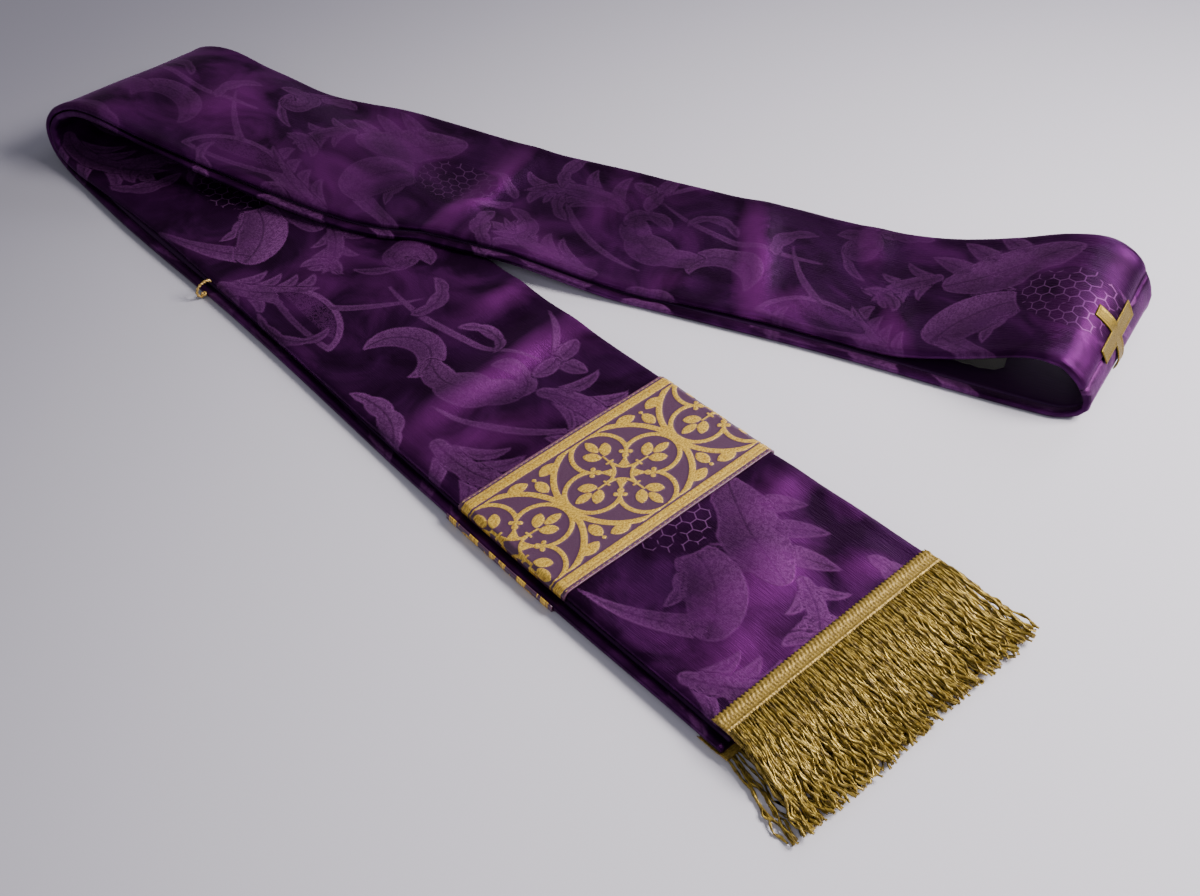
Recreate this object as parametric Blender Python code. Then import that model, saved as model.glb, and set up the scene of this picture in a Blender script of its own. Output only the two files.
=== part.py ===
"""Clerical stole of figured damask, doubled at the neck and laid flat in two crossing runs.

The two halves lie on each other.  The back run goes from the open fold at the neck, at +X, to a soft
roll at -X.  There the cloth turns down and under, and the front run comes back below it, at an angle,
to the galloon and the fringe.  The outer half is on top in the back run and underneath in the front
run; the inner half lies below it in the back run, inside it in the roll, and on top in the front run.

Every wall is worked out from one surface, the interface where the two linings meet.  A point of it is
named by two lengths on the flat cloth: "run", from the edge of the neck zone towards the fringe, and
"side", across the stole, positive on the far side.  Depths are counted outwards from the interface.
"""

import math

import bpy
from mathutils import Vector

MM = 0.001

# Layout on the table.  Lengths are in millimetres and angles in degrees.
RUN_ANGLE = 25.0            # the front run's turn away from the back run
NECK_ZONE_X = -150.0        # where the two halves part to form the neck fold
ROLL_X = -591.0             # where the back run's middle line crosses the roll's zero line
HEM_RUN = {"outer": 1047.0, "inner": 1049.0}
ROLL_TAKE_UP = 13.0         # extra cloth that the outer half needs to go round the inner one

# The cut of the cloth.
NECK_WIDTH = 98.0
HEM_WIDTH = 138.0

# Walls and gaps, counted outwards from the interface.
HALVES_GAP = 0.4
LINING_WALL = 1.2
SEAM_GAP = 0.3
DAMASK_WALL = 2.1
LINING_OUT = HALVES_GAP + LINING_WALL
DAMASK_IN = LINING_OUT + SEAM_GAP
FACE = DAMASK_IN + DAMASK_WALL
LINING_SHORT = 1.0          # how far the lining ends before the hem
HEM_TURN = 5.0              # how far the damask is turned in beside the lining
EDGE_ROUND = 1.5            # width of the rounded edge
EDGE_EASE = 1.0             # how far the rounded edge draws in on each face
STACK_RISE = 2 * FACE + 0.4 # rise of the back run where it lies on the front run
STACK_SLOPE = 38.0          # width of the slope beside the front run's edge
STACK_EASE = 7.0            # from the front run's edge to the start of the slope
STACK_START = 60.0          # how far behind the roll the slope is fully grown
CROSSING_RUN = 650.0        # where the front run leaves the back run

# Trimmings.
GALLOON_ABOVE_HEM = (179.5, 103.5)   # upper and lower edges
GALLOON_WALL = 1.0
HEADER_ABOVE_HEM = (12.0, -4.0)
HEADER_WALL = 1.6
SKIRT_BELOW_HEM = (4.3, 50.0)
SKIRT_SPLAY = {"near": 9.0, "far": 5.0}
SKIRT_FALL = 1.4            # how early the fringe reaches its lowest level, as a ratio of its length
CROSS_ARM = 8.0
CROSS_WALL = 1.0
CROSS_SIDE = -5.0                    # where the arms cross, off the stole's middle line
CROSS_HALF_LENGTH = 14.5             # each side of the seam, along the stole
CROSS_REACH = {"near": 19.0, "far": 22.0}
CROSS_STEP = 3.5                     # spacing of the cross's points along the stole
CROSS_COLUMN = 9.0                   # and across it
LABEL_WALL = 0.8
LABEL_INSET = 1.0                    # from the damask's turned edge
LABEL_LEAN = 2.5                     # how far the tab's lower edge leans to the near side
KEEPER_RUN = 645.0
KEEPER_RADIUS = 0.85
BAND_STEP = 26.0                     # spacing of the rings along a band
BAND_SHARES = (-1.0, -0.7, -0.35, 0.0, 0.35, 0.7, 1.0)   # columns, as shares of the half width
SKIRT_STEP = 9.0
SKIRT_COLUMN = 24.0

# Section of the roll, square to its rulings: distance and height of the interface on its two edges.
ROLL_ROWS = (
    # place          near_p  near_z   far_p   far_z
    ("front run",     190.0,    4.0,  190.0,    4.0),
    ("flat below",     80.0,    4.0,   80.0,    4.0),
    ("foot",           28.0,    4.0,   34.0,    4.0),
    ("heel",            9.0,    6.4,   16.0,    5.2),
    ("low side",       -1.0,   12.5,    3.0,    8.2),
    ("outermost",      -4.0,   22.0,   -2.0,   13.0),
    ("high side",       3.0,   33.5,    3.0,   18.4),
    ("ridge",          21.0,   40.0,   19.0,   21.5),
    ("shoulder",       62.0,   31.0,   51.0,   15.5),
    ("slope",         116.0,   20.0,  100.0,   12.6),
    ("back run",      205.0,   12.4,  150.0,   12.4),
    ("flat above",    240.0,   12.4,  240.0,   12.4),
)
ROLL_OUTERMOST = 5

# Section of the neck fold along the back run: distance and height of the linings' face.
NECK_ROWS = (
    # place           near_x  near_z   far_x   far_z
    ("upper parting", -150.0,    4.0, -150.0,    4.0),
    ("upper lift",    -115.0,    4.2, -118.0,    5.2),
    ("upper slope",    -84.0,    5.6,  -86.0,    9.6),
    ("rise",           -54.0,   13.6,  -62.0,   15.8),
    ("shoulder",       -32.0,   21.4,  -38.0,   24.5),
    ("crest side",     -16.0,   26.8,  -15.0,   34.6),
    ("crest",           -5.0,   27.4,    4.0,   38.8),
    ("brow",             5.0,   21.6,   18.5,   33.4),
    ("fall",            10.0,   14.6,   25.5,   22.0),
    ("outermost",       12.0,    9.0,   28.5,   11.5),
    ("chin",             8.0,    5.2,   24.0,    5.6),
    ("sole",            -6.0,    4.0,    6.0,    4.0),
    ("lower run",      -80.0,    4.0,  -80.0,    4.0),
    ("lower parting", -150.0,    4.0, -150.0,    4.0),
)

# Drift of the neck fold towards the near side, along its path from the upper to the lower parting.
NECK_DRIFT = (
    # path   drift
    (120.0,    0.0),
    (180.0,   -5.0),
    (205.0,  -10.0),
    (357.0,   -4.5),
)

# How far each half has slid sideways, towards the far side.
SIDE_SLIDE = {
    "outer": (
        # run     slide
        (-70.0,    0.0),
        (10.0,     3.0),
        (80.0,     0.0),
        (480.0,    0.0),
        (560.0,   -2.5),
        (680.0,    0.0),
        (900.0,   -3.0),
        (1060.0,  -0.5),
    ),
    "inner": (
        # run     slide
        (0.0,     -4.5),
        (300.0,   -5.0),
        (460.0,    0.0),
        (600.0,    5.5),
        (900.0,    3.0),
        (1060.0,   5.5),
    ),
}

# The fringe's reach: its lowest and highest level at the header and at the tips.
SKIRT_LEVELS = {
    # half    low at header, high at header, low at tips, high at tips
    "outer": (0.0,           3.2,            0.0,         3.0),
    "inner": (7.4,           11.4,           3.5,         6.8),
}

# The blank tab, along the neck fold's path, and how far it hangs below the lining.
LABEL_ROWS = (
    # path   drop
    (92.0,    4.5),
    (100.0,   8.5),
    (108.0,  12.0),
    (116.0,  14.0),
    (121.0,  12.0),
)

# The keeper's cord, from the inner half's face round both edges to the outer half's.
KEEPER_ROUTE = (
    # off edge   height
    (10.5,       9.2),
    (7.0,        9.6),
    (1.5,        9.5),
    (-3.0,       8.4),
    (-5.6,       6.0),
    (-5.4,       3.4),
    (-3.2,       1.6),
    (-1.4,       1.3),
)

# Lift of the interface where trimmings lie under the outer half.
UNDER_LIFT = (
    # above hem   lift
    (-230.0,      0.0),
    (-182.0,      GALLOON_WALL + SEAM_GAP),
    (-80.0,       GALLOON_WALL + SEAM_GAP),
    (-20.0,       HEADER_WALL + SEAM_GAP),
)

HALF_ANGLE = math.radians(RUN_ANGLE / 2)
COS_HALF = math.cos(HALF_ANGLE)
SIN_HALF = math.sin(HALF_ANGLE)


def smooth_step(value):
    """Return an S-shaped rise from 0 at value 0 to 1 at value 1."""
    held = min(1.0, max(0.0, value))
    return held * held * (3.0 - 2.0 * held)


def table_value(rows, at):
    """Read a two-column table at one position, easing between its rows."""
    if at <= rows[0][0]:
        return rows[0][1]
    for (start, low), (end, high) in zip(rows, rows[1:]):
        if at <= end:
            return low + (high - low) * smooth_step((at - start) / (end - start))
    return rows[-1][1]


class Section:
    """A smooth section through the rows of a table, with a near and a far outline."""

    def __init__(self, rows, zero_row):
        self.near = [Vector(row[1:3]) for row in rows]
        self.far = [Vector(row[3:5]) for row in rows]
        middle = [(near + far) / 2 for near, far in zip(self.near, self.far)]
        self.lengths = [0.0]
        for start, end in zip(middle, middle[1:]):
            self.lengths.append(self.lengths[-1] + (end - start).length)
        zero = self.lengths[zero_row]
        self.lengths = [length - zero for length in self.lengths]

    def outline_point(self, outline, at):
        """Return one outline's point at a length along the middle section."""
        last = len(self.lengths) - 1
        if at <= self.lengths[0]:
            return outline[0] + (outline[0] - outline[1]).normalized() * (self.lengths[0] - at)
        if at >= self.lengths[-1]:
            return outline[-1] + (outline[-1] - outline[-2]).normalized() * (at - self.lengths[-1])
        k = max(i for i in range(last) if self.lengths[i] <= at)
        step = self.lengths[k + 1] - self.lengths[k]
        u = (at - self.lengths[k]) / step
        start_slope = self.slope(outline, k) * step
        end_slope = self.slope(outline, k + 1) * step
        return (outline[k] * (2 * u**3 - 3 * u**2 + 1) + start_slope * (u**3 - 2 * u**2 + u)
                + outline[k + 1] * (3 * u**2 - 2 * u**3) + end_slope * (u**3 - u**2))

    def slope(self, outline, k):
        """Return an outline's direction at row k, level where the outline turns or runs flat."""
        low, high = max(k - 1, 0), min(k + 1, len(self.lengths) - 1)
        before, after = outline[k] - outline[low], outline[high] - outline[k]
        ways = outline[high] - outline[low]
        if low < k < high:
            ways = Vector([0.0 if a * b <= 0.0 else way for a, b, way in zip(before, after, ways)])
        return ways / (self.lengths[high] - self.lengths[low])

    def point(self, at, far_share):
        """Return the section's point between its near and far outlines."""
        near = self.outline_point(self.near, at)
        far = self.outline_point(self.far, at)
        return near.lerp(far, far_share)


ROLL = Section(ROLL_ROWS, ROLL_OUTERMOST)
NECK = Section(NECK_ROWS, 0)
NECK_PATH = NECK.lengths[-1]
ROLL_TOP_EXCESS = ROLL.lengths[-1] - ROLL_ROWS[-1][1]
ROLL_LOW_EXCESS = -ROLL.lengths[0] - ROLL_ROWS[0][1]
ROLL_EXCESS = ROLL_TOP_EXCESS + ROLL_LOW_EXCESS
SEAM_PATH = (NECK_PATH + HEM_RUN["inner"] - HEM_RUN["outer"] - ROLL_TAKE_UP) / 2
SEAM_RUN = {"outer": -SEAM_PATH, "inner": SEAM_PATH - NECK_PATH}
HALF_LENGTH = HEM_RUN["inner"] + NECK_PATH - SEAM_PATH


def width(run):
    """Return the stole's width, which grows evenly from the neck seam to the hem."""
    share = (run - SEAM_RUN["inner"]) / HALF_LENGTH
    return NECK_WIDTH + (HEM_WIDTH - NECK_WIDTH) * share


def far_share(run, side):
    """Return 0 at the near edge and 1 at the far edge."""
    return min(1.0, max(0.0, 0.5 + side / width(run)))


def across_front_run(x, y):
    """Return a point's distance from the front run's middle line, positive on the far side."""
    line_x = ROLL_X - ROLL_EXCESS * COS_HALF
    line_y = ROLL_EXCESS * SIN_HALF
    turn = math.radians(RUN_ANGLE)
    return (x - line_x) * math.sin(turn) + (y - line_y) * math.cos(turn)


def interface_point(run, side):
    """Return the place of the surface between the two halves, past the neck zone."""
    ahead = NECK_ZONE_X - run - ROLL_X
    square = ahead * COS_HALF - side * SIN_HALF
    along = ahead * SIN_HALF + side * COS_HALF
    at = square + ROLL_TOP_EXCESS
    p, z = ROLL.point(at, far_share(run, side))
    x = ROLL_X + p * COS_HALF + along * SIN_HALF
    y = -p * SIN_HALF + along * COS_HALF
    if at > 0.0:
        slope_start = width(CROSSING_RUN) / 2 + STACK_EASE
        beside = smooth_step((across_front_run(x, y) - slope_start) / STACK_SLOPE)
        z -= STACK_RISE * beside * smooth_step(at / STACK_START)
    else:
        z += table_value(UNDER_LIFT, run - HEM_RUN["outer"])
    return Vector((x, y, z))


def neck_point(path, side):
    """Return the place of the linings' face in the neck fold, from the upper to the lower parting."""
    x, z = NECK.point(path, far_share(-SEAM_PATH, side))
    return Vector((x, side + table_value(NECK_DRIFT, path), z))


def outward(place, first, second):
    """Return a surface's unit normal, the first way crossed with the second."""
    step = 0.5
    along = place(first + step, second) - place(first - step, second)
    across = place(first, second + step) - place(first, second - step)
    return along.cross(across).normalized()


def neck_wall(path, side, depth):
    """Return a point of a wall of the neck fold at a depth outside the linings' face."""
    return neck_point(path, side) + outward(neck_point, path, side) * depth


def cloth(half, run, side, depth):
    """Return a point of one half of the stole at a depth outside the interface, on or above the table."""
    if run < 0.0:
        path = -run if half == "outer" else NECK_PATH + run
        slide = table_value(SIDE_SLIDE[half], run) if half == "outer" else 0.0
        point = neck_wall(path, side + slide, depth)
    else:
        side = side + table_value(SIDE_SLIDE[half], run)
        away = -outward(interface_point, run, side)
        if half == "inner":
            away = -away
        point = interface_point(run, side) + away * depth
    point.z = max(0.0, point.z)
    return point


def stations(start, end):
    """Return the run lengths of a wall's rings: its two ends and the rings between them."""
    inside = [ring for ring in RINGS if start + RING_CLEARANCE < ring < end - RING_CLEARANCE]
    return [start, *inside, end]


def spread(start, end, step):
    """Return evenly spaced lengths from start to end, about a step apart."""
    count = max(1, round((end - start) / step))
    return [start + (end - start) * k / count for k in range(count + 1)]


RINGS = (
    spread(-180.0, -60.0, 12.0) + spread(-40.0, 100.0, 35.0) + spread(124.0, 340.0, 27.0)
    + spread(362.0, 386.0, 12.0) + spread(394.0, 514.0, 7.5) + spread(536.0, 580.0, 22.0)
    + spread(640.0, 820.0, 90.0) + spread(850.0, 1040.0, 38.0)
)
RING_CLEARANCE = 3.0


def shell(name, columns, colour, roughness, metallic=0.0):
    """Make one closed wall from rows of (outer point, inner point) pairs, all of one length."""
    rows = len(columns)
    count = len(columns[0])
    points = []
    for row in columns:
        points.extend(outer for outer, _ in row)
        points.extend(inner for _, inner in row)
    faces = []
    for r in range(rows - 1):
        here = r * 2 * count
        there = here + 2 * count
        for c in range(count - 1):
            faces.append((here + c, here + c + 1, there + c + 1, there + c))
            low = here + count + c
            faces.append((low, low + 2 * count, low + 2 * count + 1, low + 1))
        faces.append((here, there, there + count, here + count))
        last = here + count - 1
        faces.append((last, last + count, last + 3 * count, last + 2 * count))
    for c in range(count - 1):
        end = (rows - 1) * 2 * count + c
        faces.append((c, c + count, c + count + 1, c + 1))
        faces.append((end, end + 1, end + count + 1, end + count))
    return closed_object(name, points, faces, colour, roughness, metallic)


def closed_object(name, points, faces, colour, roughness, metallic=0.0):
    """Make an object with its faces pointing outwards and a material of its own."""
    mesh = bpy.data.meshes.new(name)
    mesh.from_pydata([point * MM for point in points], [], faces)
    mesh.update()
    if signed_volume(mesh) < 0.0:
        mesh.flip_normals()
    body = bpy.data.objects.new(name, mesh)
    bpy.context.scene.collection.objects.link(body)
    finish = bpy.data.materials.new(name)
    finish.use_nodes = True
    shader = finish.node_tree.nodes["Principled BSDF"]
    shader.inputs["Base Color"].default_value = colour
    shader.inputs["Roughness"].default_value = roughness
    shader.inputs["Metallic"].default_value = metallic
    mesh.materials.append(finish)
    return body


def signed_volume(mesh):
    """Return a closed mesh's volume, negative where its faces point inwards."""
    total = 0.0
    for face in mesh.polygons:
        corners = [mesh.vertices[k].co for k in face.vertices]
        for second, third in zip(corners[1:], corners[2:]):
            total += corners[0].dot(second.cross(third))
    return total


COLUMN_SHARES = (0.5, 0.17)   # places of the inner columns of points, as shares of the half width

VIOLET = (0.060, 0.017, 0.085, 1.0)
VIOLET_LINING = (0.045, 0.015, 0.060, 1.0)
GOLD = (0.560, 0.380, 0.090, 1.0)
OLD_GOLD = (0.380, 0.240, 0.050, 1.0)
WHITE = (0.700, 0.690, 0.660, 1.0)


def make_damask(half):
    """Make one half's damask, with its edges turned in beside the lining."""
    columns = []
    for run in stations(SEAM_RUN[half] + SEAM_GAP / 2, HEM_RUN[half]):
        edge = width(run) / 2
        marks = (
            # side                        outer depth         inner depth
            (edge,                        FACE - EDGE_EASE,   HALVES_GAP + EDGE_EASE),
            (edge - EDGE_ROUND,           FACE,               HALVES_GAP),
            (edge - HEM_TURN,             FACE,               HALVES_GAP),
            (edge - HEM_TURN - SEAM_GAP,  FACE,               DAMASK_IN),
            *((edge * share, FACE, DAMASK_IN) for share in COLUMN_SHARES),
        )
        both = [(-side, out, low) for side, out, low in marks] + [*reversed(marks)]
        columns.append([(cloth(half, run, side, out), cloth(half, run, side, low))
                        for side, out, low in both])
    shell(f"damask_{half}", columns, VIOLET, 0.45)


def make_lining(half):
    """Make one half's lining, inside the damask's turned edges."""
    columns = []
    for run in stations(SEAM_RUN[half] + SEAM_GAP / 2, HEM_RUN[half] - LINING_SHORT):
        edge = width(run) / 2 - HEM_TURN - 2 * SEAM_GAP
        inside = [width(run) / 2 * share for share in COLUMN_SHARES]
        sides = [-edge, *(-side for side in inside), *reversed(inside), edge]
        columns.append([(cloth(half, run, side, LINING_OUT), cloth(half, run, side, HALVES_GAP))
                        for side in sides])
    shell(f"lining_{half}", columns, VIOLET_LINING, 0.5)


def make_face_band(name, half, above_hem, wall, colour, metallic):
    """Make a band that lies on one half's damask, from its points moved out."""
    start, end = (HEM_RUN[half] - above for above in above_hem)
    columns = []
    for run in spread(start, end, BAND_STEP):
        edge = width(run) / 2
        sides = [edge * share for share in BAND_SHARES]
        low = FACE + SEAM_GAP
        columns.append([(cloth(half, run, side, low + wall), cloth(half, run, side, low))
                        for side in sides])
    shell(name, columns, colour, 0.4, metallic)


def make_fringe(half):
    """Make the plain solid of one fringe's reach, falling from the header to the table."""
    low_start, high_start, low_end, high_end = SKIRT_LEVELS[half]
    start, end = (HEM_RUN[half] + below for below in SKIRT_BELOW_HEM)
    columns = []
    for run in spread(start, end, SKIRT_STEP):
        share = (run - start) / (end - start)
        fall = smooth_step(share * SKIRT_FALL)
        low = low_start + (low_end - low_start) * fall
        high = high_start + (high_end - high_start) * fall
        near = -HEM_WIDTH / 2 - SKIRT_SPLAY["near"] * share
        far = HEM_WIDTH / 2 + SKIRT_SPLAY["far"] * share
        row = []
        for side in spread(near, far, SKIRT_COLUMN):
            place = cloth(half, run, side, 0.0)
            row.append((Vector((place.x, place.y, high)), Vector((place.x, place.y, low))))
        columns.append(row)
    shell(f"fringe_skirt_{half}", columns, OLD_GOLD, 0.6, 0.5)


def make_cross():
    """Make the applied cross, centred on the neck seam and wrapped over the fold."""
    half_arm = CROSS_ARM / 2
    arm = spread(half_arm, CROSS_HALF_LENGTH, CROSS_STEP)
    paths = [-path for path in reversed(arm)] + [0.0] + arm
    sides = (spread(-CROSS_REACH["near"], -half_arm, CROSS_COLUMN) + [0.0]
             + spread(half_arm, CROSS_REACH["far"], CROSS_COLUMN))
    arm_low = sides.index(-half_arm)
    arm_high = sides.index(half_arm)
    path_low = paths.index(-half_arm)
    path_high = paths.index(half_arm)
    points = []
    index = {}

    def corner(r, c, level):
        if (r, c, level) not in index:
            depth = FACE + SEAM_GAP + CROSS_WALL * level
            index[(r, c, level)] = len(points)
            points.append(neck_wall(SEAM_PATH + paths[r], CROSS_SIDE + sides[c], depth))
        return index[(r, c, level)]

    cells = {(r, c) for r in range(len(paths) - 1) for c in range(len(sides) - 1)
             if arm_low <= c < arm_high or path_low <= r < path_high}
    faces = []
    for r, c in sorted(cells):
        corners = [(r, c), (r + 1, c), (r + 1, c + 1), (r, c + 1)]
        faces.append(tuple(corner(*place, 1) for place in corners))
        faces.append(tuple(corner(*place, 0) for place in reversed(corners)))
        beside = ((r, c - 1), (r + 1, c), (r, c + 1), (r - 1, c))
        for k, neighbour in enumerate(beside):
            if neighbour not in cells:
                first, second = corners[k], corners[(k + 1) % 4]
                faces.append((corner(*second, 1), corner(*first, 1),
                              corner(*first, 0), corner(*second, 0)))
    closed_object("neck_cross", points, faces, GOLD, 0.4, 0.7)


def make_label():
    """Make the blank tab that hangs from the lining inside the neck fold."""
    side = -NECK_WIDTH / 2 + HEM_TURN + LABEL_INSET
    columns = []
    for path, drop in LABEL_ROWS:
        top = neck_wall(path, side, HALVES_GAP - 2 * SEAM_GAP)
        row = []
        for share in (0.0, 0.5, 1.0):
            place = top + Vector((0.0, -LABEL_LEAN * share * share, -drop * share))
            across = Vector((0.0, LABEL_WALL / 2, 0.0))
            row.append((place + across, place - across))
        columns.append(row)
    shell("lining_label", columns, WHITE, 0.6)


def make_keeper():
    """Make the gold cord that bridges the two halves' near edges in the front run."""
    edge = -width(KEEPER_RUN) / 2
    curve = bpy.data.curves.new("keeper_loop", "CURVE")
    curve.dimensions = "3D"
    curve.bevel_depth = KEEPER_RADIUS * MM
    curve.bevel_resolution = 2
    curve.use_fill_caps = True
    line = curve.splines.new("POLY")
    line.points.add(len(KEEPER_ROUTE) - 1)
    for point, (off_edge, height) in zip(line.points, KEEPER_ROUTE):
        place = cloth("outer", KEEPER_RUN, edge + off_edge, 0.0)
        point.co = (place.x * MM, place.y * MM, height * MM, 1.0)
    cord = bpy.data.objects.new("keeper_loop", curve)
    bpy.context.scene.collection.objects.link(cord)
    finish = bpy.data.materials.new("keeper_loop")
    finish.use_nodes = True
    finish.node_tree.nodes["Principled BSDF"].inputs["Base Color"].default_value = GOLD
    curve.materials.append(finish)


def set_origin():
    """Move every object so that the origin is at the middle of the stole's underside."""
    bpy.context.view_layer.update()
    corners = []
    for body in bpy.context.scene.objects:
        corners.extend(Vector(corner) for corner in body.bound_box)
    low = [min(corner[k] for corner in corners) for k in range(3)]
    high = [max(corner[k] for corner in corners) for k in range(3)]
    shift = Vector((-(low[0] + high[0]) / 2, -(low[1] + high[1]) / 2, -low[2]))
    for body in bpy.context.scene.objects:
        body.location += shift


def main():
    """Build the stole."""
    for body in [*bpy.data.objects]:
        bpy.data.objects.remove(body)
    for half in ("outer", "inner"):
        make_damask(half)
        make_lining(half)
        make_face_band(f"galloon_{half}", half, GALLOON_ABOVE_HEM, GALLOON_WALL, GOLD, 0.6)
        make_face_band(f"fringe_header_{half}", half, HEADER_ABOVE_HEM, HEADER_WALL, OLD_GOLD, 0.5)
        make_fringe(half)
    make_cross()
    make_label()
    make_keeper()
    set_origin()


main()
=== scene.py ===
"""Looks of the clerical stole: figured damask, lining, galloons, fringes, cross, label and keeper.

Every wall is worked out from one surface, the interface where the two linings meet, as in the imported
model.  A point of it is named by two lengths on the flat cloth: "run", from the edge of the neck zone
towards the fringe, and "side", across the stole, positive on the far side.  Depths are counted
outwards from the interface.  Lengths are in millimetres until a mesh is made.
"""

import logging
import math
from collections.abc import Callable
from dataclasses import dataclass
from enum import Enum

import bpy
import numpy as np
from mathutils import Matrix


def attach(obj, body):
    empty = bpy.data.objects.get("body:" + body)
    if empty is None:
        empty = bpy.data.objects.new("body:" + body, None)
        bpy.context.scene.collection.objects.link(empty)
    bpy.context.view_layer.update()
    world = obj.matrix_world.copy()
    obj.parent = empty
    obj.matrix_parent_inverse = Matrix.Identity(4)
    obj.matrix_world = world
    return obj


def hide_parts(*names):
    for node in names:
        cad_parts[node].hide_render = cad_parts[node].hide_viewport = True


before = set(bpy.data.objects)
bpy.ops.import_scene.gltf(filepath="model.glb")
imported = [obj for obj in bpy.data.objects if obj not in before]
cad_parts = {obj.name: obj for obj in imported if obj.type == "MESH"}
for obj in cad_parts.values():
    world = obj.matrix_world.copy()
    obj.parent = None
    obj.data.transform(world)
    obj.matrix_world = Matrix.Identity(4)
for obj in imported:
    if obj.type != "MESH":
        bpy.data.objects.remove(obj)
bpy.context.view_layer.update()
LOG = logging.getLogger("stole")
MM = 0.001
Array, Material, Object = np.ndarray, bpy.types.Material, bpy.types.Object
Tree, Socket = bpy.types.NodeTree, bpy.types.NodeSocket
LAYOUT_ZERO = np.array([0.2910505, 0.141299, 0.0])   # the layout's zero in the row's frame, in metres
FINE = 1.0
TURN = 2.0 * math.pi


class Half(Enum):
    """The stole's two halves, named by where they lie in the back run."""

    OUTER = "outer"
    INNER = "inner"


# ---------------------------------------------------------------------------------------------------
# The form
# ---------------------------------------------------------------------------------------------------

def smooth_step(value: Array) -> Array:
    """Return an S-shaped rise from 0 at value 0 to 1 at value 1."""
    held = np.clip(value, 0.0, 1.0)
    return held * held * (3.0 - 2.0 * held)


def table_value(rows: tuple, at: Array) -> Array:
    """Read a two-column table at many positions, easing between its rows.

    Args:
        rows: Pairs of position and value, by rising position.
        at: The positions to read.

    Returns:
        The values, held at the first and the last row beyond the table.
    """
    keys, values = (np.array(column) for column in zip(*rows))
    k = np.clip(np.searchsorted(keys, at) - 1, 0, len(keys) - 2)
    rise = smooth_step((at - keys[k]) / (keys[k + 1] - keys[k]))
    return values[k] + (values[k + 1] - values[k]) * rise


class Section:
    """A smooth section through the rows of a table, with a near and a far outline."""

    def __init__(self, rows: tuple, zero_row: int) -> None:
        """Measure the section's rows along their middle line, from the zero row."""
        table = np.array([row[1:] for row in rows])
        self.near, self.far = table[:, 0:2], table[:, 2:4]
        middle = (self.near + self.far) / 2
        steps = np.linalg.norm(np.diff(middle, axis=0), axis=1)
        lengths = np.concatenate([[0.0], np.cumsum(steps)])
        self.lengths = lengths - lengths[zero_row]

    def slopes(self, outline: Array) -> Array:
        """Return an outline's direction at each row, level where it turns or runs flat."""
        last = len(outline) - 1
        low = np.maximum(np.arange(last + 1) - 1, 0)
        high = np.minimum(np.arange(last + 1) + 1, last)
        before, after = outline - outline[low], outline[high] - outline
        ways = outline[high] - outline[low]
        inside = (np.arange(last + 1) > 0) & (np.arange(last + 1) < last)
        ways = np.where(inside[:, None] & (before * after <= 0.0), 0.0, ways)
        return ways / (self.lengths[high] - self.lengths[low])[:, None]

    def outline_point(self, outline: Array, at: Array) -> Array:
        """Return one outline's points at lengths along the middle section."""
        slopes = self.slopes(outline)
        k = np.clip(np.searchsorted(self.lengths, at, side="right") - 1, 0, len(outline) - 2)
        step = (self.lengths[k + 1] - self.lengths[k])[:, None]
        u = np.clip((at - self.lengths[k])[:, None] / step, 0.0, 1.0)
        points = (outline[k] * (2 * u**3 - 3 * u**2 + 1) + slopes[k] * step * (u**3 - 2 * u**2 + u)
                  + outline[k + 1] * (3 * u**2 - 2 * u**3) + slopes[k + 1] * step * (u**3 - u**2))
        for end, beside, past in ((0, 1, self.lengths[0] - at), (-1, -2, at - self.lengths[-1])):
            way = outline[end] - outline[beside]
            beyond = outline[end] + way / np.linalg.norm(way) * past[:, None]
            points = np.where((past > 0.0)[:, None], beyond, points)
        return points

    def point(self, at: Array, far_share: Array) -> Array:
        """Return the section's points between its near and far outlines."""
        near = self.outline_point(self.near, at)
        far = self.outline_point(self.far, at)
        return near + (far - near) * far_share[:, None]


ROLL_ROWS = (
    # place          near_p  near_z   far_p   far_z
    ("front run",     190.0,    4.0,  190.0,    4.0),
    ("flat below",     80.0,    4.0,   80.0,    4.0),
    ("foot",           28.0,    4.0,   34.0,    4.0),
    ("heel",            9.0,    6.4,   16.0,    5.2),
    ("low side",       -1.0,   12.5,    3.0,    8.2),
    ("outermost",      -4.0,   22.0,   -2.0,   13.0),
    ("high side",       3.0,   33.5,    3.0,   18.4),
    ("ridge",          21.0,   40.0,   19.0,   21.5),
    ("shoulder",       62.0,   31.0,   51.0,   15.5),
    ("slope",         116.0,   20.0,  100.0,   12.6),
    ("back run",      205.0,   12.4,  150.0,   12.4),
    ("flat above",    240.0,   12.4,  240.0,   12.4),
)
ROLL_OUTERMOST = 5

NECK_ROWS = (
    # place           near_x  near_z   far_x   far_z
    ("upper parting", -150.0,    4.0, -150.0,    4.0),
    ("upper lift",    -115.0,    4.2, -118.0,    5.2),
    ("upper slope",    -84.0,    5.6,  -86.0,    9.6),
    ("rise",           -54.0,   13.6,  -62.0,   15.8),
    ("shoulder",       -32.0,   21.4,  -38.0,   24.5),
    ("crest side",     -16.0,   26.8,  -15.0,   34.6),
    ("crest",           -5.0,   27.4,    4.0,   38.8),
    ("brow",             5.0,   21.6,   18.5,   33.4),
    ("fall",            10.0,   14.6,   25.5,   22.0),
    ("outermost",       12.0,    9.0,   28.5,   11.5),
    ("chin",             8.0,    5.2,   24.0,    5.6),
    ("sole",            -6.0,    4.0,    6.0,    4.0),
    ("lower run",      -80.0,    4.0,  -80.0,    4.0),
    ("lower parting", -150.0,    4.0, -150.0,    4.0),
)

# Drift of the neck fold towards the near side, along its path.
NECK_DRIFT = ((120.0, 0.0), (180.0, -5.0), (205.0, -10.0), (357.0, -4.5))

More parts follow.
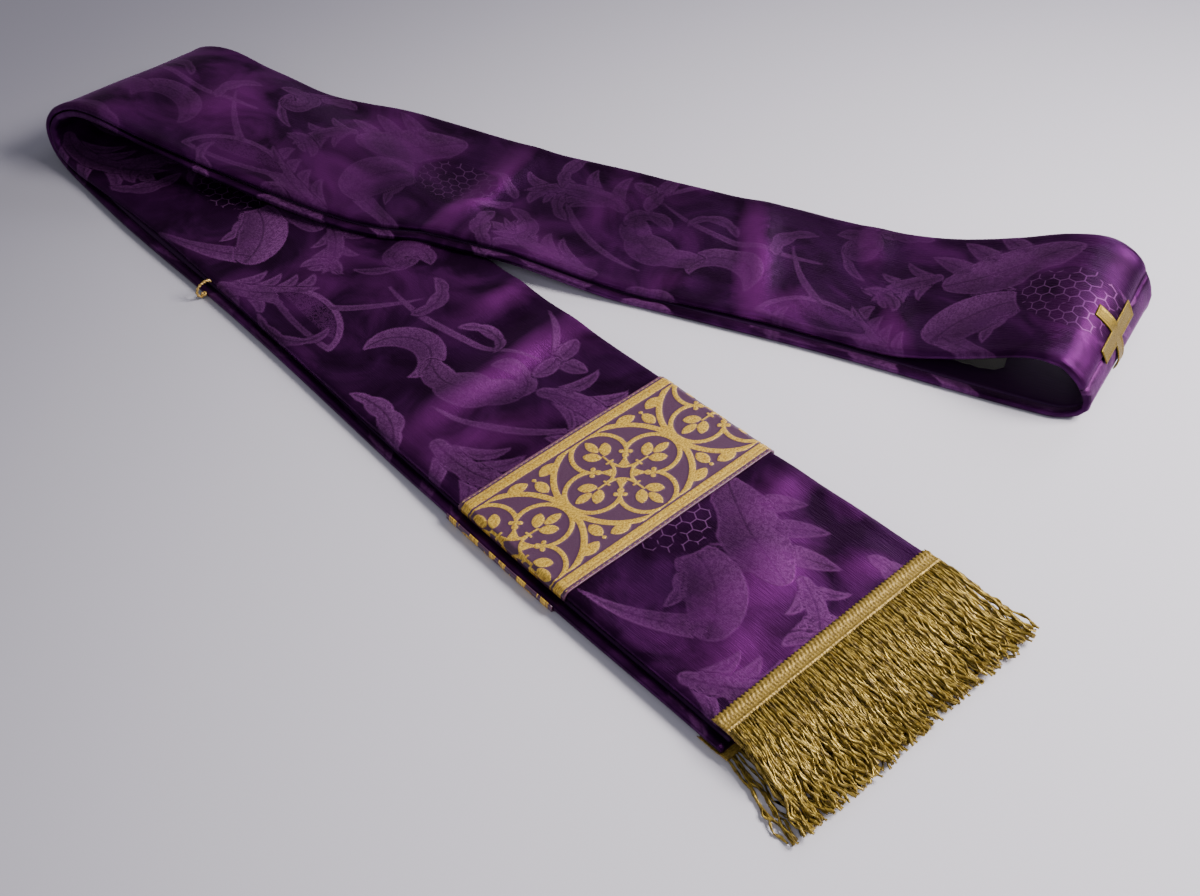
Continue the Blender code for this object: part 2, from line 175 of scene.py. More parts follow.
# How far each half has slid sideways: pairs of run and slide towards the far side.
SIDE_SLIDE = {
    Half.OUTER: ((-70.0, 0.0), (10.0, 3.0), (80.0, 0.0), (480.0, 0.0), (560.0, -2.5), (680.0, 0.0),
                 (900.0, -3.0), (1060.0, -0.5)),
    Half.INNER: ((0.0, -4.5), (300.0, -5.0), (460.0, 0.0), (600.0, 5.5), (900.0, 3.0),
                 (1060.0, 5.5)),
}

# Lift of the interface where trimmings lie under the outer half: pairs of place off the hem and lift.
UNDER_LIFT = ((-230.0, 0.0), (-182.0, 1.3), (-80.0, 1.3), (-20.0, 1.9))


@dataclass(frozen=True)
class StoleForm:
    """The stole's cut and the surface that its walls are worked out from."""

    run_angle: float = 25.0
    neck_zone_x: float = -150.0
    roll_x: float = -591.0
    hem_outer: float = 1047.0
    hem_inner: float = 1049.0
    roll_take_up: float = 13.0
    neck_width: float = 98.0
    hem_width: float = 138.0
    halves_gap: float = 0.4
    lining_wall: float = 1.2
    seam_gap: float = 0.3
    damask_wall: float = 2.1
    stack_slope: float = 38.0
    stack_ease: float = 7.0
    stack_start: float = 60.0
    stack_gap: float = 0.4         # between the front run and the back run on it
    crossing_run: float = 650.0

    def __post_init__(self) -> None:
        """Work out the sections, the seam's place and the walls' depths."""
        roll, neck = Section(ROLL_ROWS, ROLL_OUTERMOST), Section(NECK_ROWS, 0)
        top_excess = roll.lengths[-1] - ROLL_ROWS[-1][1]
        low_excess = -roll.lengths[0] - ROLL_ROWS[0][1]
        neck_path = neck.lengths[-1]
        seam = (neck_path + self.hem_inner - self.hem_outer - self.roll_take_up) / 2
        lining_out = self.halves_gap + self.lining_wall
        worked_out = {
            "roll": roll, "neck": neck, "top_excess": top_excess, "seam_path": seam,
            "roll_excess": top_excess + low_excess, "neck_path": neck_path,
            "seam_run": {Half.OUTER: -seam, Half.INNER: seam - neck_path},
            "hem": {Half.OUTER: self.hem_outer, Half.INNER: self.hem_inner},
            "half_length": self.hem_inner + neck_path - seam,
            "lining_out": lining_out, "damask_in": lining_out + self.seam_gap,
            "face": lining_out + self.seam_gap + self.damask_wall,
            "half_angle": math.radians(self.run_angle / 2),
        }
        for name, value in worked_out.items():
            object.__setattr__(self, name, value)

    def width(self, run: Array) -> Array:
        """Return the stole's width, which grows evenly from the neck seam to the hem."""
        share = (run - self.seam_run[Half.INNER]) / self.half_length
        return self.neck_width + (self.hem_width - self.neck_width) * share

    def far_share(self, run: Array, side: Array) -> Array:
        """Return 0 at the near edge and 1 at the far edge."""
        return np.clip(0.5 + side / self.width(run), 0.0, 1.0)

    def interface_point(self, run: Array, side: Array) -> Array:
        """Return places of the surface between the two halves, past the neck zone."""
        cos_half, sin_half = math.cos(self.half_angle), math.sin(self.half_angle)
        ahead = self.neck_zone_x - run - self.roll_x
        at = ahead * cos_half - side * sin_half + self.top_excess
        along = ahead * sin_half + side * cos_half
        p, z = self.roll.point(at, self.far_share(run, side)).T
        x = self.roll_x + p * cos_half + along * sin_half
        y = -p * sin_half + along * cos_half
        turn = math.radians(self.run_angle)
        off_x = x - self.roll_x + self.roll_excess * cos_half
        off_y = y - self.roll_excess * sin_half
        beyond = off_x * math.sin(turn) + off_y * math.cos(turn)
        slope_start = self.width(self.crossing_run) / 2 + self.stack_ease
        beside = smooth_step((beyond - slope_start) / self.stack_slope)
        drop = (2 * self.face + self.stack_gap) * beside * smooth_step(at / self.stack_start)
        z = z + np.where(at > 0.0, -drop, table_value(UNDER_LIFT, run - self.hem_outer))
        return np.column_stack([x, y, z])

    def neck_point(self, path: Array, side: Array) -> Array:
        """Return places of the linings' face in the neck fold."""
        share = self.far_share(np.full_like(path, -self.seam_path), side)
        x, z = self.neck.point(path, share).T
        return np.column_stack([x, side + table_value(NECK_DRIFT, path), z])

    @staticmethod
    def outward(place: Callable, first: Array, second: Array) -> Array:
        """Return a surface's unit normals, the first way crossed with the second."""
        step = 0.5
        along = place(first + step, second) - place(first - step, second)
        across = place(first, second + step) - place(first, second - step)
        normal = np.cross(along, across)
        return normal / np.linalg.norm(normal, axis=1)[:, None]

    def neck_wall(self, path: Array, side: Array, depth: Array) -> Array:
        """Return points of a wall of the neck fold at depths outside the linings' face."""
        away = self.outward(self.neck_point, path, side)
        return self.neck_point(path, side) + away * np.reshape(depth, (-1, 1))

    def cloth(self, half: Half, run: Array, side: Array, depth: Array) -> Array:
        """Return points of one half of the stole, on or above the table.

        Args:
            half: The half that the points belong to.
            run: Lengths from the edge of the neck zone towards the fringe.
            side: Lengths across the stole, positive on the far side.
            depth: Depths outside the interface.

        Returns:
            One row of x, y and z for each point, in the layout's millimetres.
        """
        run, side, depth = (np.ravel(a).astype(float) for a in np.broadcast_arrays(run, side, depth))
        points = np.zeros((len(run), 3))
        neck = run < 0.0
        if neck.any():
            path = -run[neck] if half is Half.OUTER else self.neck_path + run[neck]
            slide = table_value(SIDE_SLIDE[half], run[neck]) if half is Half.OUTER else 0.0
            points[neck] = self.neck_wall(path, side[neck] + slide, depth[neck])
        rest = ~neck
        if rest.any():
            slid = side[rest] + table_value(SIDE_SLIDE[half], run[rest])
            away = self.outward(self.interface_point, run[rest], slid)
            away = away if half is Half.INNER else -away
            points[rest] = self.interface_point(run[rest], slid) + away * depth[rest][:, None]
        points[:, 2] = np.maximum(points[:, 2], 0.0)
        return points


FORM = StoleForm()

# Soft creases, as bumps of the face: where, how long each way, how far turned and how high.
CREASES = {
    Half.OUTER: (
        # run     side   half along  half across  turned  height
        (192.0,   -2.0,   8.0,       58.0,          8.0,   3.2),
        (209.0,    8.0,   9.0,       42.0,          4.0,  -1.2),
        (174.0,   22.0,   9.0,       30.0,         14.0,  -0.9),
        (24.0,    -6.0,   9.0,       50.0,        -16.0,   3.0),
        (44.0,    10.0,   9.0,       36.0,        -20.0,  -1.2),
        (62.0,   -34.0,  11.0,       16.0,         20.0,   1.6),
        (-34.0,   34.0,   9.0,       20.0,        -12.0,   1.8),
        (-62.0,  -28.0,   9.0,       22.0,        -24.0,   1.8),
        (-4.0,   -30.0,  10.0,       14.0,         30.0,   1.2),
        (120.0,   16.0,  14.0,       30.0,         12.0,   1.0),
        (136.0,  -34.0,  12.0,       16.0,        -22.0,   1.1),
        (286.0,   -8.0,  20.0,       40.0,         18.0,   1.1),
        (372.0,    6.0,  14.0,       40.0,         24.0,   1.7),
        (330.0,   30.0,  12.0,       20.0,        -10.0,  -0.9),
        (420.0,  -14.0,  16.0,       30.0,         10.0,   1.1),
        (246.0,   40.0,  12.0,       16.0,         26.0,   0.9),
        (-150.0,   0.0,   7.0,       60.0,          0.0,   0.5),
    ),
    Half.INNER: (
        (808.0,   10.0,  11.0,       60.0,          4.0,   3.6),
        (784.0,   34.0,   9.0,       32.0,          8.0,  -1.6),
        (760.0,   50.0,   8.0,       18.0,          4.0,   2.4),
        (838.0,  -26.0,  12.0,       30.0,        -10.0,   1.5),
        (726.0,  -44.0,  14.0,       22.0,         16.0,   1.1),
        (664.0,   10.0,  20.0,       28.0,         10.0,   1.2),
        (620.0,  -36.0,  12.0,       20.0,        -12.0,   1.0),
        (694.0,   44.0,  12.0,       16.0,         12.0,   1.3),
        (992.0,   10.0,  19.0,       40.0,         -8.0,   2.6),
        (964.0,   46.0,  11.0,       22.0,          8.0,   1.7),
        (1016.0, -36.0,  12.0,       24.0,         16.0,   1.5),
        (974.0,  -24.0,  12.0,       18.0,         30.0,  -1.2),
        (1022.0,  46.0,  10.0,       16.0,        -14.0,   1.2),
        (540.0,    0.0,  22.0,       40.0,         10.0,   0.9),
    ),
}
VISIBLE_RUN = {Half.OUTER: (-176.0, 470.0), Half.INNER: (400.0, 1050.0)}
CREASE_FADE = 30.0             # from the visible run to the flat cloth beyond it
GALLOON_HOLD = (184.0, 98.0)   # above the hem, where a sewn galloon flattens the creases
HEADING_HOLD = 20.0
HOLD_EASE = 10.0
HELD_FLAT = 0.75               # how much of a crease goes there
PAINTED_SHEEN_WEIGHTS = {"rise": 0.30, "lean": 1.8, "steep": 1.6}    # how a crease's height and slopes weigh in the highlight painted on it
BROAD_PAINTED_HIGHLIGHT = (250.0, 170.0, 0.13) # run, half length and strength of a broad highlight painted on the back run's ground


def relief(half: Half, run: Array, side: Array) -> Array:
    """Return how far a half's face stands proud of its flat cut, in creases and soft waves."""
    height = (0.30 * np.sin(run / 11.0 + side / 25.0) * np.sin(side / 14.0 + run / 60.0 + 1.3)
              + 0.35 * np.sin(run / 27.0 - side / 21.0 + 0.7) + 0.10 * np.sin(run / 7.5 + side / 12.0))
    for at, middle, along, across, turned, rise in CREASES[half]:
        angle = math.radians(turned)
        u = (run - at) * math.cos(angle) + (side - middle) * math.sin(angle)
        v = (side - middle) * math.cos(angle) - (run - at) * math.sin(angle)
        height = height + rise * np.exp(-(u / along) ** 2 - (v / across) ** 2)
    start, end = VISIBLE_RUN[half]
    shown = (smooth_step((run - start + CREASE_FADE) / CREASE_FADE)
             * smooth_step((end + CREASE_FADE - run) / CREASE_FADE))
    return height * shown * (1.0 - HELD_FLAT * half_trim(half, run))


def half_trim(half: Half, run: Array) -> Array:
    """Return 1 where a half's sewn galloon or fringe heading holds the cloth flat, 0 elsewhere."""
    above = FORM.hem[half] - run
    upper, lower = GALLOON_HOLD
    band = smooth_step((upper - above) / HOLD_EASE) * smooth_step((above - lower) / HOLD_EASE)
    return np.maximum(band, smooth_step((HEADING_HOLD - above) / HOLD_EASE))


def painted_sheen(half: Half, run: Array, side: Array) -> Array:
    """Return the highlight painted on the satin ground: lighter on the creases' crests and on their sides
    that face the light, and in a broad patch on the back run.
    """
    rise = relief(half, run, side)
    steep = (relief(half, run + 2.0, side) - relief(half, run - 2.0, side)) / 4.0
    lean = (relief(half, run, side + 2.0) - relief(half, run, side - 2.0)) / 4.0
    # a broad painted highlight over the middle of the back run
    at, reach, strength = BROAD_PAINTED_HIGHLIGHT
    broad_highlight = strength * np.exp(-((run - at) / reach) ** 2) if half is Half.OUTER else 0.0
    return np.clip(PAINTED_SHEEN_WEIGHTS["rise"] * rise + PAINTED_SHEEN_WEIGHTS["lean"] * lean - PAINTED_SHEEN_WEIGHTS["steep"] * steep + broad_highlight,
                   -0.6, 1.0)


# ---------------------------------------------------------------------------------------------------
# The damask's figure
# ---------------------------------------------------------------------------------------------------

class Brush(Enum):
    """The ways that a stroke of the figure is woven."""

    SOLID = "one tone"
    VEINED = "one tone with a dark rib and rim"
    OUTLINE = "a light outline round dark ground"
    GRAIN = "a grainy half tone"


@dataclass(frozen=True)
class Stroke:
    """One stroke of the figure: where it starts, how it bends, how wide it is and how it is lobed."""

    along: float
    across: float
    heading: float
    length: float
    turn: float
    widths: tuple[float, float, float]
    tighten: float = 1.0
    brush: Brush = Brush.SOLID
    lobes: float = 0.0

    def path(self) -> tuple[Array, Array, Array]:
        """Return the stroke's points, its half widths there and its headings in radians."""
        count = max(8, int(self.length / 1.2))
        share = np.linspace(0.0, 1.0, count)
        angle = np.radians(self.heading + self.turn * share ** self.tighten)
        step = self.length / (count - 1)
        x = self.along + step * np.concatenate([[0.0], np.cumsum(np.cos(angle))[:-1]])
        y = self.across + step * np.concatenate([[0.0], np.cumsum(np.sin(angle))[:-1]])
        start, middle, end = self.widths
        bow = 2.0 * middle - (start + end) / 2
        width = start * (1 - share) ** 2 + 2 * bow * share * (1 - share) + end * share ** 2
        if self.lobes:
            width = width * (0.66 + 0.42 * np.abs(np.sin(math.pi * self.lobes * share ** 0.85)))
        return np.column_stack([x, y]), width / 2, angle


def acanthus(along: float, across: float, heading: float, length: float, turn: float, width: float,
             lobes: int) -> list[Stroke]:
    """Return an acanthus leaf's strokes: a bending rib with pairs of lobes that curl outwards."""
    ends = (width * 0.5, width * 0.7, 1.0)
    rib = Stroke(along, across, heading, length, turn, ends, 1.0, Brush.VEINED)
    points, _, angle = rib.path()
    made = []
    for k in range(lobes):
        share = 0.04 + 0.72 * k / max(1, lobes - 1)
        at = int(share * (len(points) - 1))
        reach = length * (0.50 - 0.24 * share)
        for hand in (1, -1):
            facing = math.degrees(angle[at]) + hand * 30.0
            lobe = (width * 0.34, width * 0.5, 1.0)
            made.append(Stroke(*points[at], facing, reach, hand * 62.0, lobe, 1.6, Brush.VEINED))
    return [*made, rib]


@dataclass(frozen=True)
class DamaskDrawing:
    """The damask's repeat: a pomegranate with a netted heart, scrolls, curled leaves and acanthus."""

    repeat: float = 362.0
    first_fruit_run: float = -148.0
    fruit_across: float = -2.0
    fruit_half_along: float = 27.0
    fruit_half_across: float = 23.0
    outline: float = 3.6
    far: float = 9.0

    def strokes(self) -> list[Stroke]:
        """Return the strokes of one repeat, with the pomegranate at its zero."""
        veined, outline, grain = Brush.VEINED, Brush.OUTLINE, Brush.GRAIN
        return [
            # calyx and crown of the pomegranate
            Stroke(-37, 2, 50, 74, -118, (6, 8, 1.5), 1.0, veined, 5.0),
            Stroke(-37, -6, -50, 74, 118, (6, 8, 1.5), 1.0, veined, 5.0),
            *acanthus(27, -2, 0, 26, 6, 9.0, 2),
            Stroke(25, 10, 30, 34, 70, (4, 9, 1), 1.3, veined, 3.0),
            Stroke(25, -14, -30, 34, -70, (4, 9, 1), 1.3, veined, 3.0),
            # broad leaves beyond the crown, one lobed and one curled with a tail
            Stroke(25, 30, 56, 28, -14, (9, 11, 1), 1.0, veined),
            Stroke(38, 23, 48, 33, -14, (10, 12, 1), 1.0, veined),
            Stroke(51, 15, 40, 34, -24, (10, 12, 1), 1.0, veined),
            Stroke(6, 37, -34, 64, 16, (8, 31, 15), 1.0, veined),
            Stroke(64, -35, -138, 62, -34, (15, 9, 1), 1.0, veined),
            Stroke(20, -6, -6, 54, -56, (2, 27, 19), 1.1, veined),
            Stroke(30, -12, -20, 36, -30, (1, 13, 5), 1.0, grain),
            *acanthus(76, -62, 26, 56, 40, 15.0, 4),
            *acanthus(74, 14, -20, 44, -46, 13.0, 3),
            Stroke(84, 46, 20, 34, -60, (2, 12, 1), 1.0, veined, 3.0),
            # stem to the lens leaf
            Stroke(88, -56, 20, 104, 50, (2, 5, 1)),
            Stroke(98, -44, 25, 66, -60, (3, 26, 2), 1.0, outline),
            Stroke(104, -40, 22, 52, -50, (1, 13, 1), 1.0, grain),
            Stroke(110, -60, -14, 56, 150, (2, 7, 3), 2.0, veined, 4.0),
            Stroke(92, -20, 95, 30, -130, (2, 8, 1), 1.0, veined, 2.0),
            # scroll with a round leaf
            Stroke(104, 56, -20, 72, -135, (2, 8, 3), 1.2, veined, 4.0),
            Stroke(138, 36, 150, 46, 270, (3, 15, 4), 1.5, veined, 3.0),
            Stroke(140, 6, -8, 108, 42, (2, 4.5, 1)),
            Stroke(192, 14, 60, 40, -150, (3, 8, 1), 1.3, veined, 3.0),
            Stroke(166, 2, 70, 40, 120, (3, 10, 1), 1.2, veined, 3.0),
            # crescent and folded leaf
            Stroke(172, -34, 100, 68, -215, (2, 18, 1.5), 1.2, veined),
            Stroke(204, -14, -30, 68, 125, (7, 24, 2), 1.0, veined, 3.0),
            Stroke(212, -20, -20, 44, 105, (2, 11, 1), 1.0, grain),
            Stroke(230, 6, 60, 38, -170, (4, 11, 1), 1.2, veined, 2.0),
            Stroke(196, -60, 30, 56, -90, (2, 13, 1), 1.0, veined, 4.0),
            # trefoil on a fine stem
            Stroke(214, 58, -20, 42, -40, (1, 4, 1)),
            Stroke(246, 36, 10, 19, 10, (3, 11, 1), 1.0, veined),
            Stroke(246, 36, 90, 18, 30, (3, 10, 1), 1.0, veined),
            Stroke(246, 36, -70, 18, -30, (3, 10, 1), 1.0, veined),
            # acanthus before the next repeat
            Stroke(232, -36, 10, 92, 60, (1, 5, 1)),
            *acanthus(256, -50, -8, 74, 62, 17.0, 4),
            *acanthus(262, 14, 34, 66, -76, 17.0, 4),
            Stroke(322, -10, -160, 50, 165, (3, 13, 2), 1.4, veined, 3.0),
            Stroke(296, 60, -40, 42, -80, (2, 10, 1), 1.0, veined, 3.0),
            Stroke(314, -56, 30, 44, 80, (2, 11, 1), 1.0, veined, 3.0),
            Stroke(288, -8, 30, 30, 70, (2, 8, 1), 1.0, veined, 2.0),
        ]

    def fields(self, run: Array, side: Array) -> dict[str, Array]:
        """Return the figure's fields for points of the cloth.

        Args:
            run: Lengths along the flat cloth.
            side: Lengths across it.

        Returns:
            Distances in millimetres, negative inside, to the figure, to the grainy half tone and to
            the pomegranate's netted heart; and for the nearest stroke, the length along it, the
            offset from its rib, and 1 where it is veined.
        """
        t = np.mod(run - self.first_fruit_run + self.repeat / 2, self.repeat) - self.repeat / 2
        figure, grain = np.full(t.shape, self.far), np.full(t.shape, self.far)
        leaf = np.zeros((*t.shape, 3))
        for stroke in self.strokes():
            points, radius, angle = stroke.path()
            reach = radius.max() + 6.0
            low, high = points.min(axis=0) - reach, points.max(axis=0) + reach
            for shift in (-self.repeat, 0.0, self.repeat):
                near = np.flatnonzero((t > low[0] + shift) & (t < high[0] + shift)
                                      & (side > low[1]) & (side < high[1]))
                if not len(near):
                    continue
                edge, at = np.full(len(near), 99.0), np.zeros(len(near), int)
                for k, ((x, y), half_width) in enumerate(zip(points, radius)):
                    gap = np.hypot(t[near] - x - shift, side[near] - y) - half_width
                    at = np.where(gap < edge, k, at)
                    edge = np.minimum(edge, gap)
                off = (np.cos(angle[at]) * (side[near] - points[at, 1])
                       - np.sin(angle[at]) * (t[near] - shift - points[at, 0]))
                length = at * stroke.length / (len(points) - 1)
                veined = np.full(len(near), float(stroke.brush is Brush.VEINED))
                self.paint(stroke.brush, near, edge, np.column_stack([length, off, veined]),
                           (figure, grain, leaf))
        fruit = (np.hypot(t / self.fruit_half_along,
                          (side - self.fruit_across) / self.fruit_half_across) - 1.0) * 24.0
        return {"figure": np.maximum(figure, 1.5 - fruit), "grain": grain, "leaf": leaf,
                "fruit": fruit}

    def paint(self, brush: Brush, near: Array, edge: Array, place: Array,
              fields: tuple[Array, Array, Array]) -> None:
        """Lay one stroke over the fields.

        Args:
            brush: How the stroke is woven.
            near: Indices of the points near the stroke.
            edge: Their distances to the stroke's edge.
            place: Their length along the stroke, offset from its rib, and 1 where it is veined.
            fields: The figure, grain and leaf fields, changed in place.
        """
        figure, grain, leaf = fields
        if brush is Brush.GRAIN:
            grain[near] = np.minimum(grain[near], edge)
            return
        if brush is Brush.OUTLINE:
            hollow = np.maximum(figure[near], -edge - self.outline)
            figure[near] = np.where(edge < -self.outline, hollow, figure[near])
            edge = np.abs(edge + self.outline / 2) - self.outline / 2
        if brush is Brush.VEINED:
            rim = np.maximum(figure[near], np.minimum(1.0 - edge, 1.0))
            figure[near] = np.where(edge > 0.0, rim, figure[near])
        newer = edge < figure[near]
        leaf[near[newer]] = place[newer]
        figure[near] = np.minimum(figure[near], edge)


# ---------------------------------------------------------------------------------------------------
# Meshes and nodes
# ---------------------------------------------------------------------------------------------------

def linear(colour: str) -> tuple[float, float, float, float]:
    """Turn an sRGB hex colour such as "#c9a545" into linear red, green, blue and alpha."""
    parts = [int(colour[k:k + 2], 16) / 255.0 for k in (1, 3, 5)]
    return (*(p / 12.92 if p <= 0.04045 else ((p + 0.055) / 1.055) ** 2.4 for p in parts), 1.0)


def add_node(tree: Tree, kind: str, inputs: dict | None = None,
             **settings: object) -> bpy.types.Node:
    """Add a node to a tree.

    Args:
        tree: The material's or geometry's node tree.
        kind: The node's type.
        inputs: Values, or sockets to link from, by the input's name or number.
        settings: The node's own properties.

    Returns:
        The new node.
    """
    node = tree.nodes.new(kind)
    for name, value in settings.items():
        setattr(node, name, value)
    for name, value in (inputs or {}).items():
        if isinstance(value, Socket):
            tree.links.new(value, node.inputs[name])
        else:
            node.inputs[name].default_value = value
    return node


def grid_faces(rows: int, columns: int, closed: bool = False) -> Array:
    """Return the quads between rows of points, joined round if closed."""
    r = np.arange(rows - 1)[:, None] * columns
    c = np.arange(columns if closed else columns - 1)[None, :]
    after = (c + 1) % columns
    quads = np.stack([r + c, r + after, r + columns + after, r + columns + c], axis=-1)
    return quads.reshape(-1, 4)


def place_object(name: str, data: bpy.types.ID) -> Object:
    """Return a new object in the scene, at the origin."""
    placed = bpy.data.objects.new(name, data)
    bpy.context.scene.collection.objects.link(placed)
    return placed


def shade_smooth(mesh: bpy.types.Mesh) -> None:
    """Shade every face of a mesh smoothly."""
    mesh.polygons.foreach_set("use_smooth", np.ones(len(mesh.polygons), bool))


def make_piece(name: str, points: Array, faces: list, finish: Material,
               fields: dict[str, Array] | None = None) -> Object:
    """Make a smooth-shaded object whose faces point outwards.

    Args:
        name: The piece's name.
        points: Its points in the layout's millimetres.
        faces: Lists or arrays of point numbers.
        finish: Its material.
        fields: Point attributes by name, numbers or rows of three.

    Returns:
        The object, at the origin of the row's frame.
    """
    mesh = bpy.data.meshes.new(name)
    mesh.from_pydata(points * MM + LAYOUT_ZERO, [], [tuple(map(int, face)) for face in faces])
    mesh.update()
    mesh.calc_loop_triangles()
    corners = np.zeros(len(mesh.loop_triangles) * 3, np.int32)
    mesh.loop_triangles.foreach_get("vertices", corners)
    a, b, c = (points[corners.reshape(-1, 3)[:, k]] for k in range(3))
    if np.einsum("ij,ij->i", a, np.cross(b, c)).sum() < 0.0:
        mesh.flip_normals()
    for field, values in (fields or {}).items():
        kind = "FLOAT" if values.ndim == 1 else "FLOAT_VECTOR"
        layer = mesh.attributes.new(field, kind, "POINT")
        layer.data.foreach_set("value" if values.ndim == 1 else "vector", values.astype(np.float32).ravel())
    shade_smooth(mesh)
    mesh.materials.append(finish)
    return place_object(name, mesh)


def wall_piece(name: str, top: Array, low: Array, rows: int, columns: int,
               finish: Material, fields: dict | None = None) -> Object:
    """Make a closed wall from a top and a lower grid of the same rows and columns."""
    count = rows * columns
    upper = grid_faces(rows, columns)
    first, last = np.arange(columns), np.arange(columns) + count - columns
    near, far = np.arange(rows) * columns, np.arange(rows) * columns + columns - 1
    rims = [np.stack([edge[:-1], edge[:-1] + count, edge[1:] + count, edge[1:]], axis=-1)[:, ::way]
            for edge, way in ((first, 1), (last, -1), (near, -1), (far, 1))]
    faces = np.concatenate([upper, upper[:, ::-1] + count, *rims])
    doubled = {key: np.concatenate([value, value]) for key, value in (fields or {}).items()}
    return make_piece(name, np.concatenate([top, low]), faces, finish, doubled)


def keep_realized(piece: Object, tree: Tree, inputs: dict[str, object],
                  name: str) -> Object:
    """Run a geometry tree on a guide object and keep the result as a plain mesh.

    Args:
        piece: The guide, which is removed.
        tree: The geometry nodes.
        inputs: Values by the tree's input names.
        name: The new piece's name.

    Returns:
        The new object, at the origin.
    """
    modifier = piece.modifiers.new("made", "NODES")
    modifier.node_group = tree
    for item in tree.interface.items_tree:
        if item.item_type == "SOCKET" and item.in_out == "INPUT" and item.name in inputs:
            modifier[item.identifier] = inputs[item.name]
    bpy.context.view_layer.update()
    graph = bpy.context.evaluated_depsgraph_get()
    mesh = bpy.data.meshes.new_from_object(piece.evaluated_get(graph), depsgraph=graph)
    bpy.data.objects.remove(piece)
    mesh.name = name
    return place_object(name, mesh)


def geometry_tree(name: str, **sockets: str) -> tuple:
    """Start a geometry tree with inputs of the named kinds, such as Length="Float".

    Returns:
        The tree, its group input's outputs by name and its group output node.
    """
    tree = bpy.data.node_groups.new(name, "GeometryNodeTree")
    tree.interface.new_socket("Geometry", in_out="INPUT", socket_type="NodeSocketGeometry")
    tree.interface.new_socket("Geometry", in_out="OUTPUT", socket_type="NodeSocketGeometry")
    for key, kind in sockets.items():
        tree.interface.new_socket(key, in_out="INPUT", socket_type=f"NodeSocket{kind}")
    return tree, add_node(tree, "NodeGroupInput").outputs, add_node(tree, "NodeGroupOutput")


# ---------------------------------------------------------------------------------------------------
# Finishes
# ---------------------------------------------------------------------------------------------------

def put(tree: Tree, kind: str, inputs: dict | None = None,
        **settings: object) -> Socket:
    """Add a node as add_node does, and return its first output."""
    return add_node(tree, kind, inputs, **settings).outputs[0]


def feed(tree: Tree, **inputs: object) -> None:
    """Give the Principled shader's sockets values or links, by name with underscores for spaces."""
    shader = tree.nodes["Principled BSDF"]
    for name, value in inputs.items():
        socket = shader.inputs[name.replace("_", " ")]
        if isinstance(value, Socket):
            tree.links.new(value, socket)
        else:
            socket.default_value = value


def start_material(name: str, **constants: object) -> tuple[Material, Tree]:
    """Start a material with constant shader sockets, and return it and its tree."""
    material = bpy.data.materials.new(name)
    material.use_nodes = True
    feed(material.node_tree, **constants)
    return material, material.node_tree


def field_of(tree: Tree, name: str, output: str = "Fac") -> Socket:
    """Return one of the piece's point attributes."""
    return add_node(tree, "ShaderNodeAttribute", attribute_name=name).outputs[output]


def noise_of(tree: Tree, place: Socket, scale: float, detail: float = 2.0,
             distortion: float = 0.0) -> Socket:
    """Return a noise from 0 to 1."""
    return put(tree, "ShaderNodeTexNoise", {"Vector": place, "Scale": scale, "Detail": detail,
                                            "Distortion": distortion})


def range_of(tree: Tree, value: Socket, low: float, high: float,
             first: float = 0.0, last: float = 1.0) -> Socket:
    """Return a value stretched from one range to another, and held at its ends."""
    return put(tree, "ShaderNodeMapRange", {0: value, 1: low, 2: high, 3: first, 4: last})


def mask_of(tree: Tree, value: Socket, soft: float,
            edge: float = 0.0) -> Socket:
    """Return 1 where a value lies below an edge and 0 above it, with a soft change between."""
    return put(tree, "ShaderNodeMapRange", {0: value, 1: edge - soft, 2: edge + soft, 3: 1.0, 4: 0.0},
               interpolation_type="SMOOTHSTEP")


def math_of(tree: Tree, operation: str, first: object,
            second: object = 0.0) -> Socket:
    """Return the result of one sum on values or sockets."""
    return put(tree, "ShaderNodeMath", {0: first, 1: second}, operation=operation)


def times(tree: Tree, first: object, second: object) -> Socket:
    """Return the product of two values or sockets."""
    return math_of(tree, "MULTIPLY", first, second)


def vector_of(tree: Tree, operation: str, first: object,
              second: object) -> Socket:
    """Return the result of one sum on vectors."""
    return put(tree, "ShaderNodeVectorMath", {0: first, 1: second}, operation=operation)


def joined(tree: Tree, x: object = 0.0, y: object = 0.0,
           z: object = 0.0) -> Socket:
    """Return a vector of three values or sockets."""
    return put(tree, "ShaderNodeCombineXYZ", {0: x, 1: y, 2: z})


def bump_of(tree: Tree, height: Socket, strength: float,
            distance: float) -> Socket:
    """Return the normal of a height."""
    return put(tree, "ShaderNodeBump", {"Height": height, "Strength": strength, "Distance": distance})


def blend_of(tree: Tree, share: object, first: object,
             second: object) -> Socket:
    """Return a colour between two colours or hex codes, by a share."""
    first, second = (linear(part) if isinstance(part, str) else part for part in (first, second))
    return add_node(tree, "ShaderNodeMix", {0: share, 6: first, 7: second},
                    data_type="RGBA").outputs[2]


